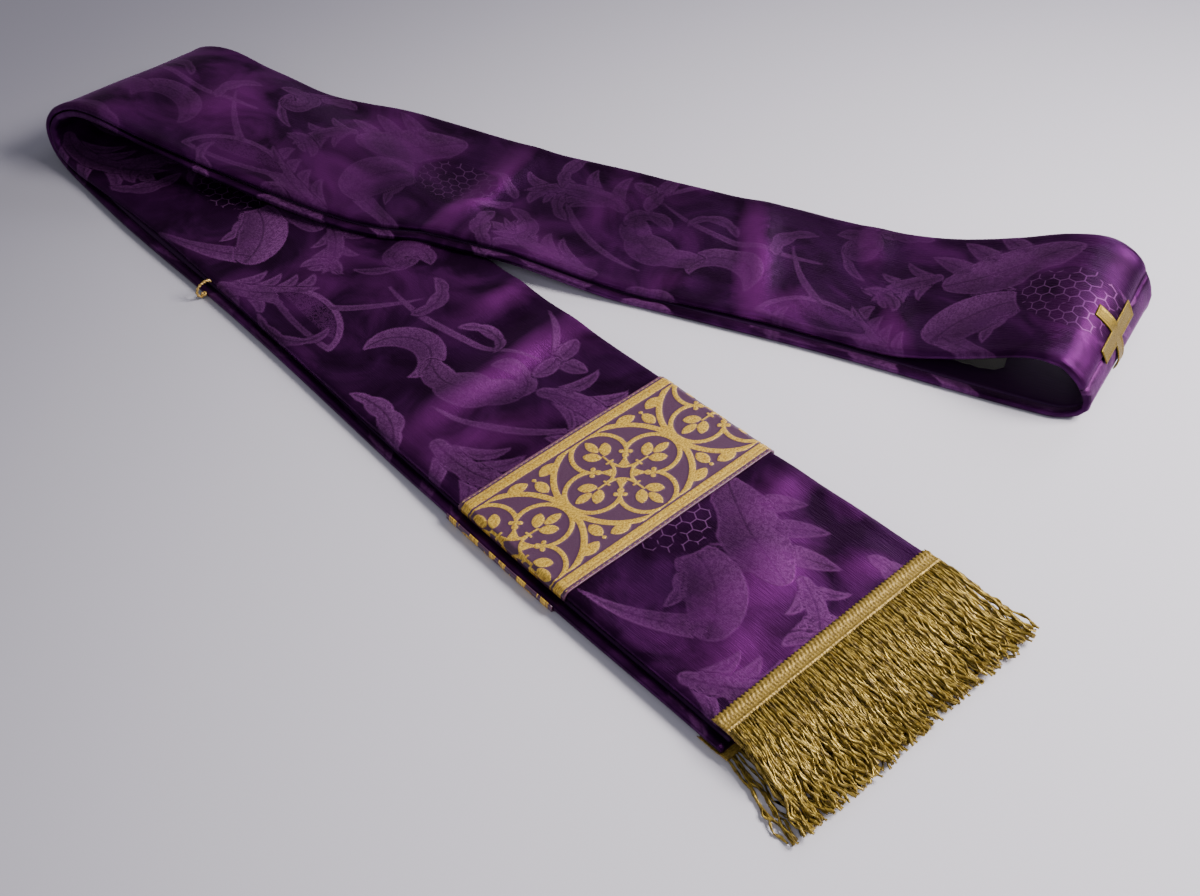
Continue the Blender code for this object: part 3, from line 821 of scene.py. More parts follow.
@dataclass(frozen=True)
class DamaskSatin:
    """Figured damask of fine violet silk: glossy satin ground, matter and lighter woven figure."""

    deep: str = "#1a0520"
    ground: str = "#36113f"
    # bright: the painted highlight colour that the ground is lifted towards
    bright: str = "#772a7c"
    figure: str = "#471a4c"
    figure_light: str = "#693a6e"
    net: str = "#7c4c82"
    roughness: tuple[float, float] = (0.36, 0.56)    # of the ground and of the figure
    metallic: tuple[float, float] = (0.62, 0.25)
    net_cell: float = 7.0      # one mesh of the pomegranate's net
    vein_pitch: float = 4.6    # from vein to vein in a leaf

    def material(self) -> Material:
        """Return the damask's material.

        The long floats of the satin weave give a soft, coloured gloss, and a highlight is painted into the
        ground's colour on the creases' crests and lit sides; the figure is woven the other way, so it is
        lighter and matt, with a crepe-like grain.
        """
        material, tree = start_material(
            "figured_silk_damask", Specular_IOR_Level=0.45, Specular_Tint=linear("#d860d8"),
            Sheen_Weight=0.06, Sheen_Roughness=0.4, Sheen_Tint=linear("#b868c0"))
        flat = field_of(tree, "cloth_mm", "Vector")
        field = {name: field_of(tree, name) for name in ("figure", "grain", "fruit", "painted_sheen", "contrast")}
        crepe = noise_of(tree, flat, 0.62, 3.0, 1.4)
        tone = self.tone(tree, field, crepe)
        # the ground's colour carries the highlight painted on the creases
        ground = self.ground_colour(tree, flat, field["painted_sheen"])
        light = times(tree, mask_of(tree, crepe, 0.10, 0.5), 0.75)
        woven = blend_of(tree, tone, ground, blend_of(tree, light, self.figure_light, self.figure))
        heart = times(tree, mask_of(tree, field["fruit"], 1.2, -0.6), 0.45)
        net = times(tree, self.net_mask(tree, flat, field["fruit"]), field["contrast"])
        feed(tree, Base_Color=blend_of(tree, net, blend_of(tree, heart, woven, self.deep), self.net),
             Roughness=range_of(tree, tone, 0.0, 1.0, *self.roughness),
             Metallic=range_of(tree, tone, 0.0, 1.0, *self.metallic),
             Normal=self.normal(tree, flat, tone, crepe))
        return material

    def tone(self, tree: Tree, field: dict[str, Socket],
             crepe: Socket) -> Socket:
        """Return how light the figure is: shaded across each leaf, veined, and fading in places."""
        leaf = field_of(tree, "leaf", "Vector")
        along, off, veined = add_node(tree, "ShaderNodeSeparateXYZ", {0: leaf}).outputs
        aside = math_of(tree, "ABSOLUTE", off)
        slanted = math_of(tree, "ADD", along, times(tree, aside, 1.15))
        turned = math_of(tree, "PINGPONG", slanted, self.vein_pitch / 2)
        vein = times(tree, mask_of(tree, turned, 0.35, 0.3), 0.6)
        rib = mask_of(tree, aside, 0.3, 0.55)
        inside = mask_of(tree, field["figure"], 0.5, -1.0)
        lines = times(tree, math_of(tree, "MAXIMUM", vein, rib), times(tree, inside, veined))
        rim = times(tree, mask_of(tree, times(tree, field["figure"], -1.0), 0.9, 0.9), 0.3)
        solid = math_of(tree, "ADD", range_of(tree, off, -9.0, 9.0, 0.5, 1.0), rim)
        kept = times(tree, solid, math_of(tree, "SUBTRACT", 1.0, times(tree, lines, 0.42)))
        fuzz = times(tree, math_of(tree, "SUBTRACT", crepe, 0.5), 2.2)
        woven = times(tree, mask_of(tree, math_of(tree, "ADD", field["figure"], fuzz), 0.6), kept)
        half_tone = times(tree, mask_of(tree, field["grain"], 0.8), mask_of(tree, crepe, 0.06, 0.52))
        shown = math_of(tree, "MAXIMUM", woven, times(tree, half_tone, 0.6))
        return times(tree, shown, field["contrast"])

    def ground_colour(self, tree: Tree, flat: Socket,
                      crease_highlight: Socket) -> Socket:
        """Return the satin ground: random darker and lighter clouds, lifted towards a painted highlight
        colour by the clouds and by the highlight painted on the creases.
        """
        clear = range_of(tree, noise_of(tree, flat, 0.022, 3.0, 1.6), 0.36, 0.68)
        # painted highlight: a little from the clouds, more from the creases
        lift = math_of(tree, "ADD", times(tree, clear, 0.35), crease_highlight)
        return blend_of(tree, range_of(tree, lift, 0.18, 1.25, 0.0, 0.9),
                        blend_of(tree, clear, self.deep, self.ground), self.bright)

    def net_mask(self, tree: Tree, flat: Socket,
                 fruit: Socket) -> Socket:
        """Return the mask of the hexagonal net in the pomegranate's heart, worn away in places."""
        cell = (1.0, math.sqrt(3.0), 1.0)
        scaled = put(tree, "ShaderNodeVectorMath", {0: flat, 3: 1.0 / self.net_cell}, operation="SCALE")
        homes, sizes = [], []
        for offset in ((0.0, 0.0, 0.0), (0.5, cell[1] / 2, 0.0)):
            homes.append(put(tree, "ShaderNodeVectorMath",
                             {0: vector_of(tree, "ADD", scaled, offset), 1: [k / 2 for k in cell],
                              2: [-k / 2 for k in cell]}, operation="WRAP"))
            sizes.append(add_node(tree, "ShaderNodeVectorMath", {0: homes[-1]},
                                  operation="LENGTH").outputs[1])
        nearer = math_of(tree, "LESS_THAN", sizes[1], sizes[0])
        home = add_node(tree, "ShaderNodeMix", {0: nearer, 4: homes[0], 5: homes[1]},
                        data_type="VECTOR").outputs[1]
        folded = put(tree, "ShaderNodeVectorMath", {0: home}, operation="ABSOLUTE")
        slant = add_node(tree, "ShaderNodeVectorMath", {0: folded, 1: (0.5, math.sqrt(3.0) / 2, 0.0)},
                         operation="DOT_PRODUCT").outputs[1]
        level = put(tree, "ShaderNodeSeparateXYZ", {0: folded})
        to_edge = math_of(tree, "SUBTRACT", 0.5, math_of(tree, "MAXIMUM", slant, level))
        worn = mask_of(tree, noise_of(tree, flat, 0.16, 1.0), 0.06, 0.6)
        drawn = times(tree, mask_of(tree, to_edge, 0.022, 0.042), worn)
        return times(tree, drawn, mask_of(tree, fruit, 0.5, -1.0))

    def normal(self, tree: Tree, flat: Socket, tone: Socket,
               crepe: Socket) -> Socket:
        """Return the normal of satin floats along the ground and crepe in the figure."""
        floats = noise_of(tree, vector_of(tree, "MULTIPLY", flat, (0.12, 1.9, 1.0)), 1.0)
        height = put(tree, "ShaderNodeMix", {0: tone, 2: floats, 3: crepe})
        raised = put(tree, "ShaderNodeMath", {0: tone, 1: 0.6, 2: height}, operation="MULTIPLY_ADD")
        return bump_of(tree, raised, 0.45, 0.0005)


@dataclass(frozen=True)
class LiningSatin:
    """Plain violet lining satin, dull beside the damask; its colours are darkened as painted shade, as it
    shows inside the shaded neck fold.
    """

    # both colours are darkened as painted shade: what shows of the lining lies inside the neck fold
    colour: str = "#200824"
    highlight: str = "#34113a"

    def material(self) -> Material:
        """Return the lining's material: an even satin, dark violet and darkened further as painted shade,
        with fine floats along it.
        """
        material, tree = start_material(
            "shade_darkened_lining_satin", Specular_IOR_Level=0.35, Roughness=0.48,
            Specular_Tint=linear("#c8a0e0"), Sheen_Weight=0.15, Sheen_Tint=linear("#9a60b0"))
        drawn_out = vector_of(tree, "MULTIPLY", field_of(tree, "cloth_mm", "Vector"), (0.1, 1.6, 1.0))
        floats = noise_of(tree, drawn_out, 1.0)
        feed(tree, Base_Color=blend_of(tree, floats, self.colour, self.highlight),
             Normal=bump_of(tree, floats, 0.3, 0.0002))
        return material


@dataclass(frozen=True)
class MetalThread:
    """Gold-coloured metal thread, wound on silk: woven, braided or twisted."""

    name: str
    light: str
    deep: str
    roughness: float = 0.42
    metallic: float = 0.55
    grain: float = 1.1         # threads to the millimetre that show
    bump: float = 0.5
    weft: str = "#53304e"      # the second colour between gold figures
    piping: str = "#6a3f58"

    def material(self, ground: str | None = None) -> Material:
        """Return the thread's material.

        Args:
            ground: The colour between the gold figures, where the piece has them.

        Returns:
            A material of short bright and dark dashes, as the wound metal strip catches the light.
        """
        material, tree = start_material(self.name, Specular_IOR_Level=0.6)
        flat = field_of(tree, "cloth_mm", "Vector")
        short = vector_of(tree, "MULTIPLY", flat, (self.grain, 0.45 * self.grain, 1.0))
        dashes = noise_of(tree, short, 1.6, 2.0, 0.6)
        colour = blend_of(tree, range_of(tree, dashes, 0.32, 0.66), self.deep, self.light)
        metallic: object = self.metallic
        if ground:
            shown = mask_of(tree, field_of(tree, "gold"), 0.18)
            cloth = blend_of(tree, noise_of(tree, flat, 1.3), ground, self.weft)
            edged = blend_of(tree, mask_of(tree, field_of(tree, "piping"), 0.15), cloth, self.piping)
            colour = blend_of(tree, shown, edged, colour)
            metallic = times(tree, shown, self.metallic)
        feed(tree, Base_Color=colour, Metallic=metallic, Normal=bump_of(tree, dashes, self.bump, 0.0003),
             Roughness=range_of(tree, dashes, 0.0, 1.0, self.roughness + 0.14, self.roughness - 0.06))
        return material


@dataclass(frozen=True)
class WovenTape:
    """Woven tape of the blank label, coloured dark grey as painted shade: it hangs in the shade inside the
    neck fold.
    """

    # both colours are darkened as painted shade
    colour: str = "#302f2b"
    shade: str = "#252421"

    def material(self) -> Material:
        """Return the tape's material, with a fine rib across it."""
        material, tree = start_material("label_tape_painted_shade", Roughness=0.8)
        rib = add_node(tree, "ShaderNodeTexWave", {"Vector": field_of(tree, "cloth_mm", "Vector"),
                                                   "Scale": 0.35, "Distortion": 0.4}).outputs[1]
        feed(tree, Base_Color=blend_of(tree, rib, self.shade, self.colour),
             Normal=bump_of(tree, rib, 0.4, 0.0002))
        return material


@dataclass(frozen=True)
class SewingThread:
    """Matt sewing thread."""

    name: str
    colour: str

    def material(self) -> Material:
        """Return the thread's material, with the lay of its plies."""
        material, tree = start_material(self.name, Roughness=0.6, Sheen_Weight=0.2)
        plies = noise_of(tree, add_node(tree, "ShaderNodeTexCoord").outputs["Object"], 2500.0)
        dark = tuple(part * 0.6 for part in linear(self.colour)[:3]) + (1.0,)
        feed(tree, Base_Color=blend_of(tree, plies, dark, self.colour))
        return material


# ---------------------------------------------------------------------------------------------------
# Cloth pieces
# ---------------------------------------------------------------------------------------------------

def spread(start: float, end: float, step: float) -> Array:
    """Return evenly spaced lengths from start to end, about a step apart."""
    return np.linspace(start, end, max(1, round((end - start) / step)) + 1)


def cloth_stations(half: Half, start: float, end: float, fine: float, coarse: float) -> Array:
    """Return run lengths that are close together where the half's face is seen from above."""
    shown_start, shown_end = VISIBLE_RUN[half]
    first, last = max(start, shown_start), min(end, shown_end)
    parts = [spread(first, last, fine * FINE)]
    if first > start:
        parts.insert(0, spread(start, first, coarse)[:-1])
    if last < end:
        parts.append(spread(last, end, coarse)[1:])
    return np.concatenate(parts)


@dataclass(frozen=True)
class DamaskPanel:
    """One half's damask on its interlining, with soft rolled edges turned in beside the lining."""

    half: Half
    fine: float = 1.3
    coarse: float = 3.4
    columns: int = 100
    edge_round: float = 2.0
    edge_puff: float = 0.35
    hem_turn: float = 5.0
    seam_roll: float = 0.7     # how far the face sinks into the neck seam and the hem

    def profile(self, edge: float) -> Array:
        """Return the closed section across the stole: side, depth, and share of the creases."""
        form = FORM
        face, low = form.face, form.halves_gap
        inner_edge = edge - self.hem_turn
        top = np.linspace(-edge + self.edge_round, edge - self.edge_round, int(self.columns / FINE))
        puff = self.edge_puff * np.exp(-((edge - np.abs(top) - 4.0) / 3.0) ** 2)
        rows = [np.column_stack([top, face + puff, np.ones(len(top))])]
        turn = np.linspace(0.0, math.pi / 2, 5)[1:]
        upper = np.column_stack([edge - self.edge_round + self.edge_round * np.sin(turn),
                                 face - self.edge_round + self.edge_round * np.cos(turn),
                                 np.cos(turn) * 0.9])
        lower_round = 1.0
        under = np.column_stack([edge - lower_round + lower_round * np.cos(turn),
                                 low + lower_round - lower_round * np.sin(turn), 0.0 * turn])
        inside = np.array([(inner_edge, low, 0.0), (inner_edge - form.seam_gap, form.damask_in, 0.0)])
        right = np.concatenate([upper, [(edge, low + lower_round, 0.0)], under, inside])
        across = np.linspace(inner_edge - form.seam_gap, -inner_edge + form.seam_gap, 8)[1:-1]
        back = np.column_stack([across, np.full(6, form.damask_in), np.zeros(6)])
        left = right[::-1] * np.array([-1.0, 1.0, 1.0])
        return np.concatenate([rows[0], right, back, left])

    def contrast(self, run: Array, side: Array) -> Array:
        """Return how strongly the figure shows: a painted change with the light as the cloth turns, varying
        slowly along the cloth, weaker on the outer half and a little stronger on the neck.
        """
        slow = 0.5 + 0.5 * np.sin(run / 37.0 + side / 26.0 + 1.1) * np.sin(run / 61.0 - side / 33.0)
        # painted light: the outer half, whose face shows in the back run, gets a fainter figure
        facing = 1.0 if self.half is Half.INNER else 0.52
        on_neck = smooth_step((-run - 60.0) / 50.0) * smooth_step((FORM.width(run) / 2 - 2.0) / 4.0)
        return np.clip(facing * (0.45 + 0.6 * slow) + 0.14 * on_neck, 0.0, 1.0)

    def build(self, finish: Material, drawing: DamaskDrawing) -> Object:
        """Return the damask as one closed mesh with the figure's fields on it."""
        form, half = FORM, self.half
        runs = cloth_stations(half, form.seam_run[half] + form.seam_gap / 2, form.hem[half],
                              self.fine, self.coarse)
        sections = np.stack([self.profile(form.width(run) / 2) for run in runs])
        count = sections.shape[1]
        run = np.repeat(runs, count)
        side, depth, share = sections.reshape(-1, 3).T
        to_end = np.minimum(run - runs[0], runs[-1] - run)
        sunk = self.seam_roll * np.clip(1.0 - to_end / 2.5, 0.0, 1.0) ** 2
        points = form.cloth(half, run, side, depth + share * (relief(half, run, side) - sunk))
        fields = drawing.fields(run, side)
        fields["cloth_mm"] = np.column_stack([run, side, np.zeros(len(run))])
        # a highlight painted on the creases' crests and lit sides, for the damask's colour
        fields["painted_sheen"] = painted_sheen(half, run, side)
        fields["contrast"] = self.contrast(run, side)
        ends = [np.arange(count)[::-1], np.arange(count) + (len(runs) - 1) * count]
        faces = [*grid_faces(len(runs), count, closed=True), *ends]
        return make_piece(f"damask_{half.value}_cloth", points, faces, finish, fields)


@dataclass(frozen=True)
class LiningPanel:
    """One half's lining, slip-stitched inside the damask's turned edges."""

    half: Half
    step: float = 4.0
    columns: int = 30
    short: float = 1.0
    inset: float = 5.6
    pucker: float = 0.22

    def build(self, finish: Material) -> Object:
        """Return the lining as a thin closed wall, slightly puckered at its stitched edges."""
        form, half = FORM, self.half
        runs = spread(form.seam_run[half] + form.seam_gap / 2, form.hem[half] - self.short,
                      self.step * FINE)
        edge = form.width(runs) / 2 - self.inset
        side = (edge[:, None] * np.linspace(-1.0, 1.0, self.columns)[None, :]).ravel()
        run = np.repeat(runs, self.columns)
        near_edge = np.exp(-(np.repeat(edge, self.columns) - np.abs(side)) / 3.0)
        pucker = self.pucker * near_edge * (0.5 + 0.5 * np.sin(run * TURN / 9.0))
        top = form.cloth(half, run, side, form.lining_out)
        low = form.cloth(half, run, side, form.halves_gap + pucker)
        flat = np.column_stack([run, side, np.zeros(len(run))])
        return wall_piece(f"lining_{half.value}_cloth", top, low, len(runs), self.columns, finish,
                          {"cloth_mm": flat})


@dataclass(frozen=True)
class GalloonBand:
    """A woven galloon: rings with quatrefoils in gold between two gold borders."""

    half: Half
    above_hem: tuple[float, float] = (179.5, 103.5)
    wall: float = 1.0
    step: float = 0.6
    ring: float = 35.0          # ring radius across the stole, also half the repeat
    squeeze: float = 31.0       # the ring's radius along it
    centre_side: float = 3.5
    thread: float = 1.6         # half the width of the ring's line
    gold_rise: float = 0.3

    def pattern(self, along: Array, across: Array) -> Array:
        """Return the distance to the gold figure, negative inside it.

        Args:
            along: Lengths from the band's middle, towards the hem.
            across: Lengths across the stole from a ring's centre.

        Returns:
            Distances in millimetres.
        """
        p = along * self.ring / self.squeeze
        q = np.mod(across + self.ring, 2 * self.ring) - self.ring
        x, y = np.maximum(np.abs(p), np.abs(q)), np.minimum(np.abs(p), np.abs(q))
        from_centre = np.hypot(p, q)
        ring = np.abs(from_centre - self.ring) - self.thread
        lobe, lobe_off = 14.3, 19.2
        foil = np.abs(np.hypot(x - lobe_off, y) - lobe) - 1.2
        foil = np.where((x - lobe_off) * 0.4 + y < -2.9, 9.0, foil)
        diagonal, off_diagonal = (x + y) / math.sqrt(2), (x - y) / math.sqrt(2)
        knob = np.minimum(np.hypot(diagonal - 12.6, off_diagonal) - 1.7,
                          np.hypot(diagonal - 15.4, off_diagonal - 2.3) - 1.3)
        neck = np.maximum(np.abs(off_diagonal) - 0.9, np.abs(diagonal - 16.2) - 2.2)
        arc = np.abs(np.hypot(x - 9.6, y - 9.6) - 9.3) - 0.75
        arc = np.where((x < 9.6) & (y < 9.6), arc, 9.0)
        bar = np.maximum(np.abs(x - 10.6) - 0.6, y - 2.4)
        stem = np.maximum(y - 0.5, np.abs(x - 13.0) - 3.6)
        broad = self.petal(x - 19.6, y - 4.3, 38.0, 4.9, 3.0)
        tip = self.petal(x - 25.4, y, 0.0, 5.2, 2.5)
        figure = np.minimum.reduce([ring, foil, knob, neck, arc, bar, stem, broad, tip])
        corner_p, corner_q = self.ring - np.abs(p), self.ring - np.abs(q)
        leaf = self.petal(corner_q - 9.2, corner_p - 5.8, -12.0, 5.6, 3.2)
        low_leaf = self.petal(corner_q, corner_p - 13.8, 90.0, 5.0, 3.1)
        dot = np.hypot(corner_q, corner_p - 7.2) - 1.1
        return np.minimum.reduce([figure, leaf, low_leaf, dot])

    @staticmethod
    def petal(x: Array, y: Array, heading: float, long: float, wide: float) -> Array:
        """Return the distance to a pointed oval leaf at the zero, with a groove along its rib."""
        angle = math.radians(heading)
        u = x * math.cos(angle) + y * math.sin(angle)
        v = y * math.cos(angle) - x * math.sin(angle)
        radius = (long ** 2 + wide ** 2) / (2 * wide)
        return np.hypot(u, np.abs(v) + radius - wide) - radius

    def build(self, finish: Material) -> Object:
        """Return the band, raised where it is gold, with its ends turned round the stole's edges."""
        form, half = FORM, self.half
        step = self.step * FINE * (1.0 if half is Half.INNER else 2.0)
        start, end = (form.hem[half] - above for above in self.above_hem)
        runs = spread(start, end, step)
        edge = form.width(runs) / 2
        shares = spread(-1.0, 1.0, 2 * step / form.hem_width)
        wrap = np.array([0.6, 1.4, 2.4, 3.2])
        side = np.concatenate([-edge[:, None] - 0.45 + 0 * wrap, edge[:, None] * shares,
                               edge[:, None] + 0.45 + 0 * wrap], axis=1)
        drop = np.concatenate([np.tile(wrap[::-1], (len(runs), 1)), np.zeros((len(runs), len(shares))),
                               np.tile(wrap, (len(runs), 1))], axis=1)
        columns = side.shape[1]
        run = np.repeat(runs, columns)
        side, drop = side.ravel(), drop.ravel()
        half_width = np.repeat(edge, columns)
        round_off = 1.3 * np.clip((np.abs(side) - half_width + 1.8) / 1.8, 0.0, 1.0) ** 2
        middle = (start + end) / 2
        along, reach = run - middle, (end - start) / 2
        gold = self.pattern(along, side + np.sign(side) * drop - self.centre_side)
        from_edge = reach - np.abs(along)
        border = np.abs(from_edge - 4.9) - 2.6
        groove = 0.28 - np.abs(from_edge - 3.9)
        inside = np.where(from_edge > 8.6, gold, 9.0)
        figure = np.minimum(np.maximum(border, groove), inside)
        piping = np.abs(from_edge - 0.55) - 0.55
        rise = self.gold_rise * smooth_step((0.5 - figure) / 0.9)
        rise += 0.25 * smooth_step((0.35 - piping) / 0.6)
        low_depth = form.face + form.seam_gap + relief(half, run, side) - round_off - drop
        high_depth = low_depth + self.wall - 0.35 + rise
        flat = np.column_stack([run, side, np.zeros(len(run))])
        top = form.cloth(half, run, side + np.sign(side) * (drop > 0.0) * 0.7, high_depth)
        low = form.cloth(half, run, side, low_depth)
        return wall_piece(f"galloon_{half.value}_band", top, low, len(runs), columns, finish,
                          {"cloth_mm": flat, "gold": figure, "piping": piping})


@dataclass(frozen=True)
class FringeHeader:
    """The fringe's woven heading: looped edge, chain rows, and the heads of the strands."""

    half: Half
    above_hem: tuple[float, float] = (12.0, -4.0)
    wall: float = 1.6
    step: float = 0.42
    loop: float = 2.2           # width of one loop of the upper edge
    chain: float = 1.9          # length of one link of the chain rows

    def height(self, off: Array, side: Array) -> Array:
        """Return the heading's relief at lengths below its upper edge."""
        loops = 0.65 * np.abs(np.sin(side * math.pi / self.loop + 0.6 * off)) * smooth_step(
            1.0 - np.abs(off - 1.8) / 2.4)
        weave = 0.32 * np.sin(side * TURN / 1.7 + off * 2.6) * np.sin(off * TURN / 2.3)
        weave = weave * smooth_step((off - 2.0) / 1.5) * smooth_step((6.6 - off) / 1.5)
        cords = sum(0.7 * np.exp(-((off - at) / 0.55) ** 2)
                    * (0.75 + 0.25 * np.sin(side * TURN / self.chain + at * 3.0)) for at in (7.2, 10.2))
        rungs = 0.3 * np.sin(side * TURN / 1.5) * smooth_step(1.0 - np.abs(off - 8.7) / 1.6)
        heads = 0.42 * np.abs(np.sin(side * math.pi / 1.25 + 0.35 * np.sin(off / 2.0))) \
            * smooth_step((off - 10.8) / 1.2)
        return loops + weave + cords + rungs + heads

    def build(self, finish: Material) -> Object:
        """Return the heading as one closed wall."""
        form, half = FORM, self.half
        step = self.step * FINE * (1.0 if half is Half.INNER else 1.8)
        start, end = (form.hem[half] - above for above in self.above_hem)
        runs = spread(start, end, step)
        shares = spread(-1.0, 1.0, 2 * step / form.hem_width)
        columns = len(shares)
        run = np.repeat(runs, columns)
        side = (form.width(run) / 2 + 0.4) * np.tile(shares, len(runs))
        off = run - start
        scallop = -1.3 * np.abs(np.sin(side * math.pi / self.loop)) * (off < 0.01)
        sink = 2.4 * smooth_step((off - 8.5) / 5.0) + 1.2 * (np.abs(np.tile(shares, len(runs))) > 0.999)
        low_depth = form.face + form.seam_gap + relief(half, run, side) * smooth_step((10.0 - off) / 10.0)
        high = low_depth + 0.45 + self.height(off, side) - sink * 0.5
        flat = np.column_stack([run, side, np.zeros(len(run))])
        top = form.cloth(half, run + scallop, side, high)
        low = form.cloth(half, run + scallop, side, low_depth - sink * 0.5)
        return wall_piece(f"fringe_header_{half.value}_braid", top, low, len(runs), columns, finish,
                          {"cloth_mm": flat})


@dataclass(frozen=True)
class FringeSkirt:
    """The fringe's skirt of loose twisted strands, made by geometry nodes and laid over the edge."""

    half: Half
    strands: int
    seed: int
    levels: tuple[float, float]     # height of the strands' middle at the heading and at the tips
    length: float = 50.5
    start_below_hem: float = -3.0
    thickness: float = 1.6
    twists: float = 3.6
    splay: tuple[float, float] = (9.0, 4.5)
    rings: int = 26                 # points along a strand
    waves: tuple[float, float, float] = (2.0, 19.0, 8.0)
    lean: float = 16.0

    def tree(self, finish: Material) -> Tree:
        """Return the strands' geometry tree, in millimetres, along x and spread over y."""
        tree, given, result = geometry_tree("twisted_fringe", Strands="Int", Width="Float",
                                            Length="Float", Thickness="Float", Twists="Float", Seed="Int")
        half_width = times(tree, given["Width"], 0.5)
        row = put(tree, "GeometryNodeMeshLine",
                  {"Count": given["Strands"], "Start Location": joined(tree, y=times(tree, half_width, -1.0)),
                   "Offset": joined(tree, y=half_width)}, mode="END_POINTS")
        jitter = put(tree, "FunctionNodeRandomValue",
                     {0: (-0.5, -0.6, -1.1), 1: (0.5, 0.6, 0.7), "Seed": given["Seed"]},
                     data_type="FLOAT_VECTOR")
        placed = put(tree, "GeometryNodeSetPosition", {"Geometry": row, "Offset": jitter})
        line = put(tree, "GeometryNodeCurvePrimitiveLine", {"Start": (0, 0, 0), "End": (1, 0, 0)})
        fine = put(tree, "GeometryNodeResampleCurve", {"Curve": line, "Count": self.rings})
        stretch = add_node(tree, "FunctionNodeRandomValue", {2: 0.9, 3: 1.04, "Seed": 11},
                           data_type="FLOAT").outputs[1]
        size = joined(tree, times(tree, given["Length"], stretch), 1.0, 1.0)
        strung = put(tree, "GeometryNodeInstanceOnPoints", {"Points": placed, "Instance": fine,
                                                            "Scale": size})
        marked = put(tree, "GeometryNodeStoreNamedAttribute",
                     {"Geometry": strung, "Name": "strand", "Value": put(tree, "GeometryNodeInputIndex")},
                     data_type="FLOAT", domain="INSTANCE")
        loose = put(tree, "GeometryNodeRealizeInstances", {0: marked})
        strand = put(tree, "GeometryNodeInputNamedAttribute", {"Name": "strand"}, data_type="FLOAT")
        share = put(tree, "GeometryNodeSplineParameter")
        bent = put(tree, "GeometryNodeSetPosition",
                   {"Geometry": loose, "Offset": self.bend(tree, strand, share, given["Seed"])})
        winding = times(tree, times(tree, share, given["Twists"]), TURN)
        tilt = math_of(tree, "ADD", winding, times(tree, strand, 1.7))
        tilted = put(tree, "GeometryNodeSetCurveTilt", {"Curve": bent, "Tilt": tilt})
        sized = put(tree, "GeometryNodeSetCurveRadius",
                    {"Curve": tilted, "Radius": range_of(tree, share, 0.93, 1.0, 1.0, 0.8)})
        ring = put(tree, "GeometryNodeCurvePrimitiveCircle", {"Resolution": 6, "Radius": 1.0})
        half_axes = joined(tree, *(times(tree, given["Thickness"], part) for part in (0.5, 0.29)), 1.0)
        oval = put(tree, "GeometryNodeTransform", {"Geometry": ring, "Scale": half_axes})
        skin = put(tree, "GeometryNodeCurveToMesh", {"Curve": sized, "Profile Curve": oval,
                                                     "Fill Caps": True})
        whole = put(tree, "GeometryNodeRealizeInstances", {0: skin})
        dressed = put(tree, "GeometryNodeSetMaterial", {"Geometry": whole, "Material": finish})
        tree.links.new(dressed, result.inputs[0])
        return tree

    def bend(self, tree: Tree, strand: Socket,
             share: Socket, seed: Socket) -> Socket:
        """Return each strand's waves: it leans, wanders sideways and rides over its neighbours."""
        place = joined(tree, times(tree, share, 3.0), times(tree, strand, 3.71), seed)
        wander = add_node(tree, "ShaderNodeTexNoise", {"Vector": place, "Scale": 1.0,
                                                       "Detail": 1.5}).outputs["Color"]
        waves = vector_of(tree, "MULTIPLY", vector_of(tree, "SUBTRACT", wander, (0.5, 0.5, 0.5)),
                          self.waves)
        swaying = put(tree, "ShaderNodeVectorMath", {0: waves, 3: math_of(tree, "POWER", share, 0.8)},
                      operation="SCALE")
        group = noise_of(tree, joined(tree, times(tree, strand, 0.085), z=seed), 1.0, 1.0)
        lean = times(tree, math_of(tree, "SUBTRACT", group, 0.5), times(tree, share, self.lean))
        return vector_of(tree, "ADD", swaying, joined(tree, y=lean))

    def build(self, finish: Material) -> Object:
        """Return the strands, laid from the heading down to the table."""
        form, half = FORM, self.half
        guide = place_object("guide", bpy.data.meshes.new("guide"))
        sizes = {"Strands": self.strands, "Width": form.hem_width - 2.0, "Length": self.length,
                 "Thickness": self.thickness, "Twists": self.twists, "Seed": self.seed}
        piece = keep_realized(guide, self.tree(finish), sizes, f"fringe_skirt_{half.value}_strands")
        mesh = piece.data
        local = np.zeros(len(mesh.vertices) * 3, np.float32)
        mesh.vertices.foreach_get("co", local)
        x, y, z = local.reshape(-1, 3).T.astype(float)
        share = np.clip(x / self.length, 0.0, 1.05)
        near, far = self.splay
        edge_share = y / (form.hem_width / 2)
        y = y + share * np.where(edge_share < 0.0, near, far) * edge_share * np.abs(edge_share)
        start, end = self.levels
        level = start + (end - start) * smooth_step((share - 0.06) * 1.3)
        points = form.cloth(half, form.hem[half] + self.start_below_hem + x, y, 0.0)
        points[:, 2] = np.maximum(level + z, 0.15)
        mesh.vertices.foreach_set("co", (points * MM + LAYOUT_ZERO).astype(np.float32).ravel())
        layer = mesh.attributes.new("cloth_mm", "FLOAT_VECTOR", "POINT")
        layer.data.foreach_set("vector", np.column_stack([x * 0.4, y * 2.0, z]).astype(np.float32).ravel())
        shade_smooth(mesh)
        mesh.update()
        return piece


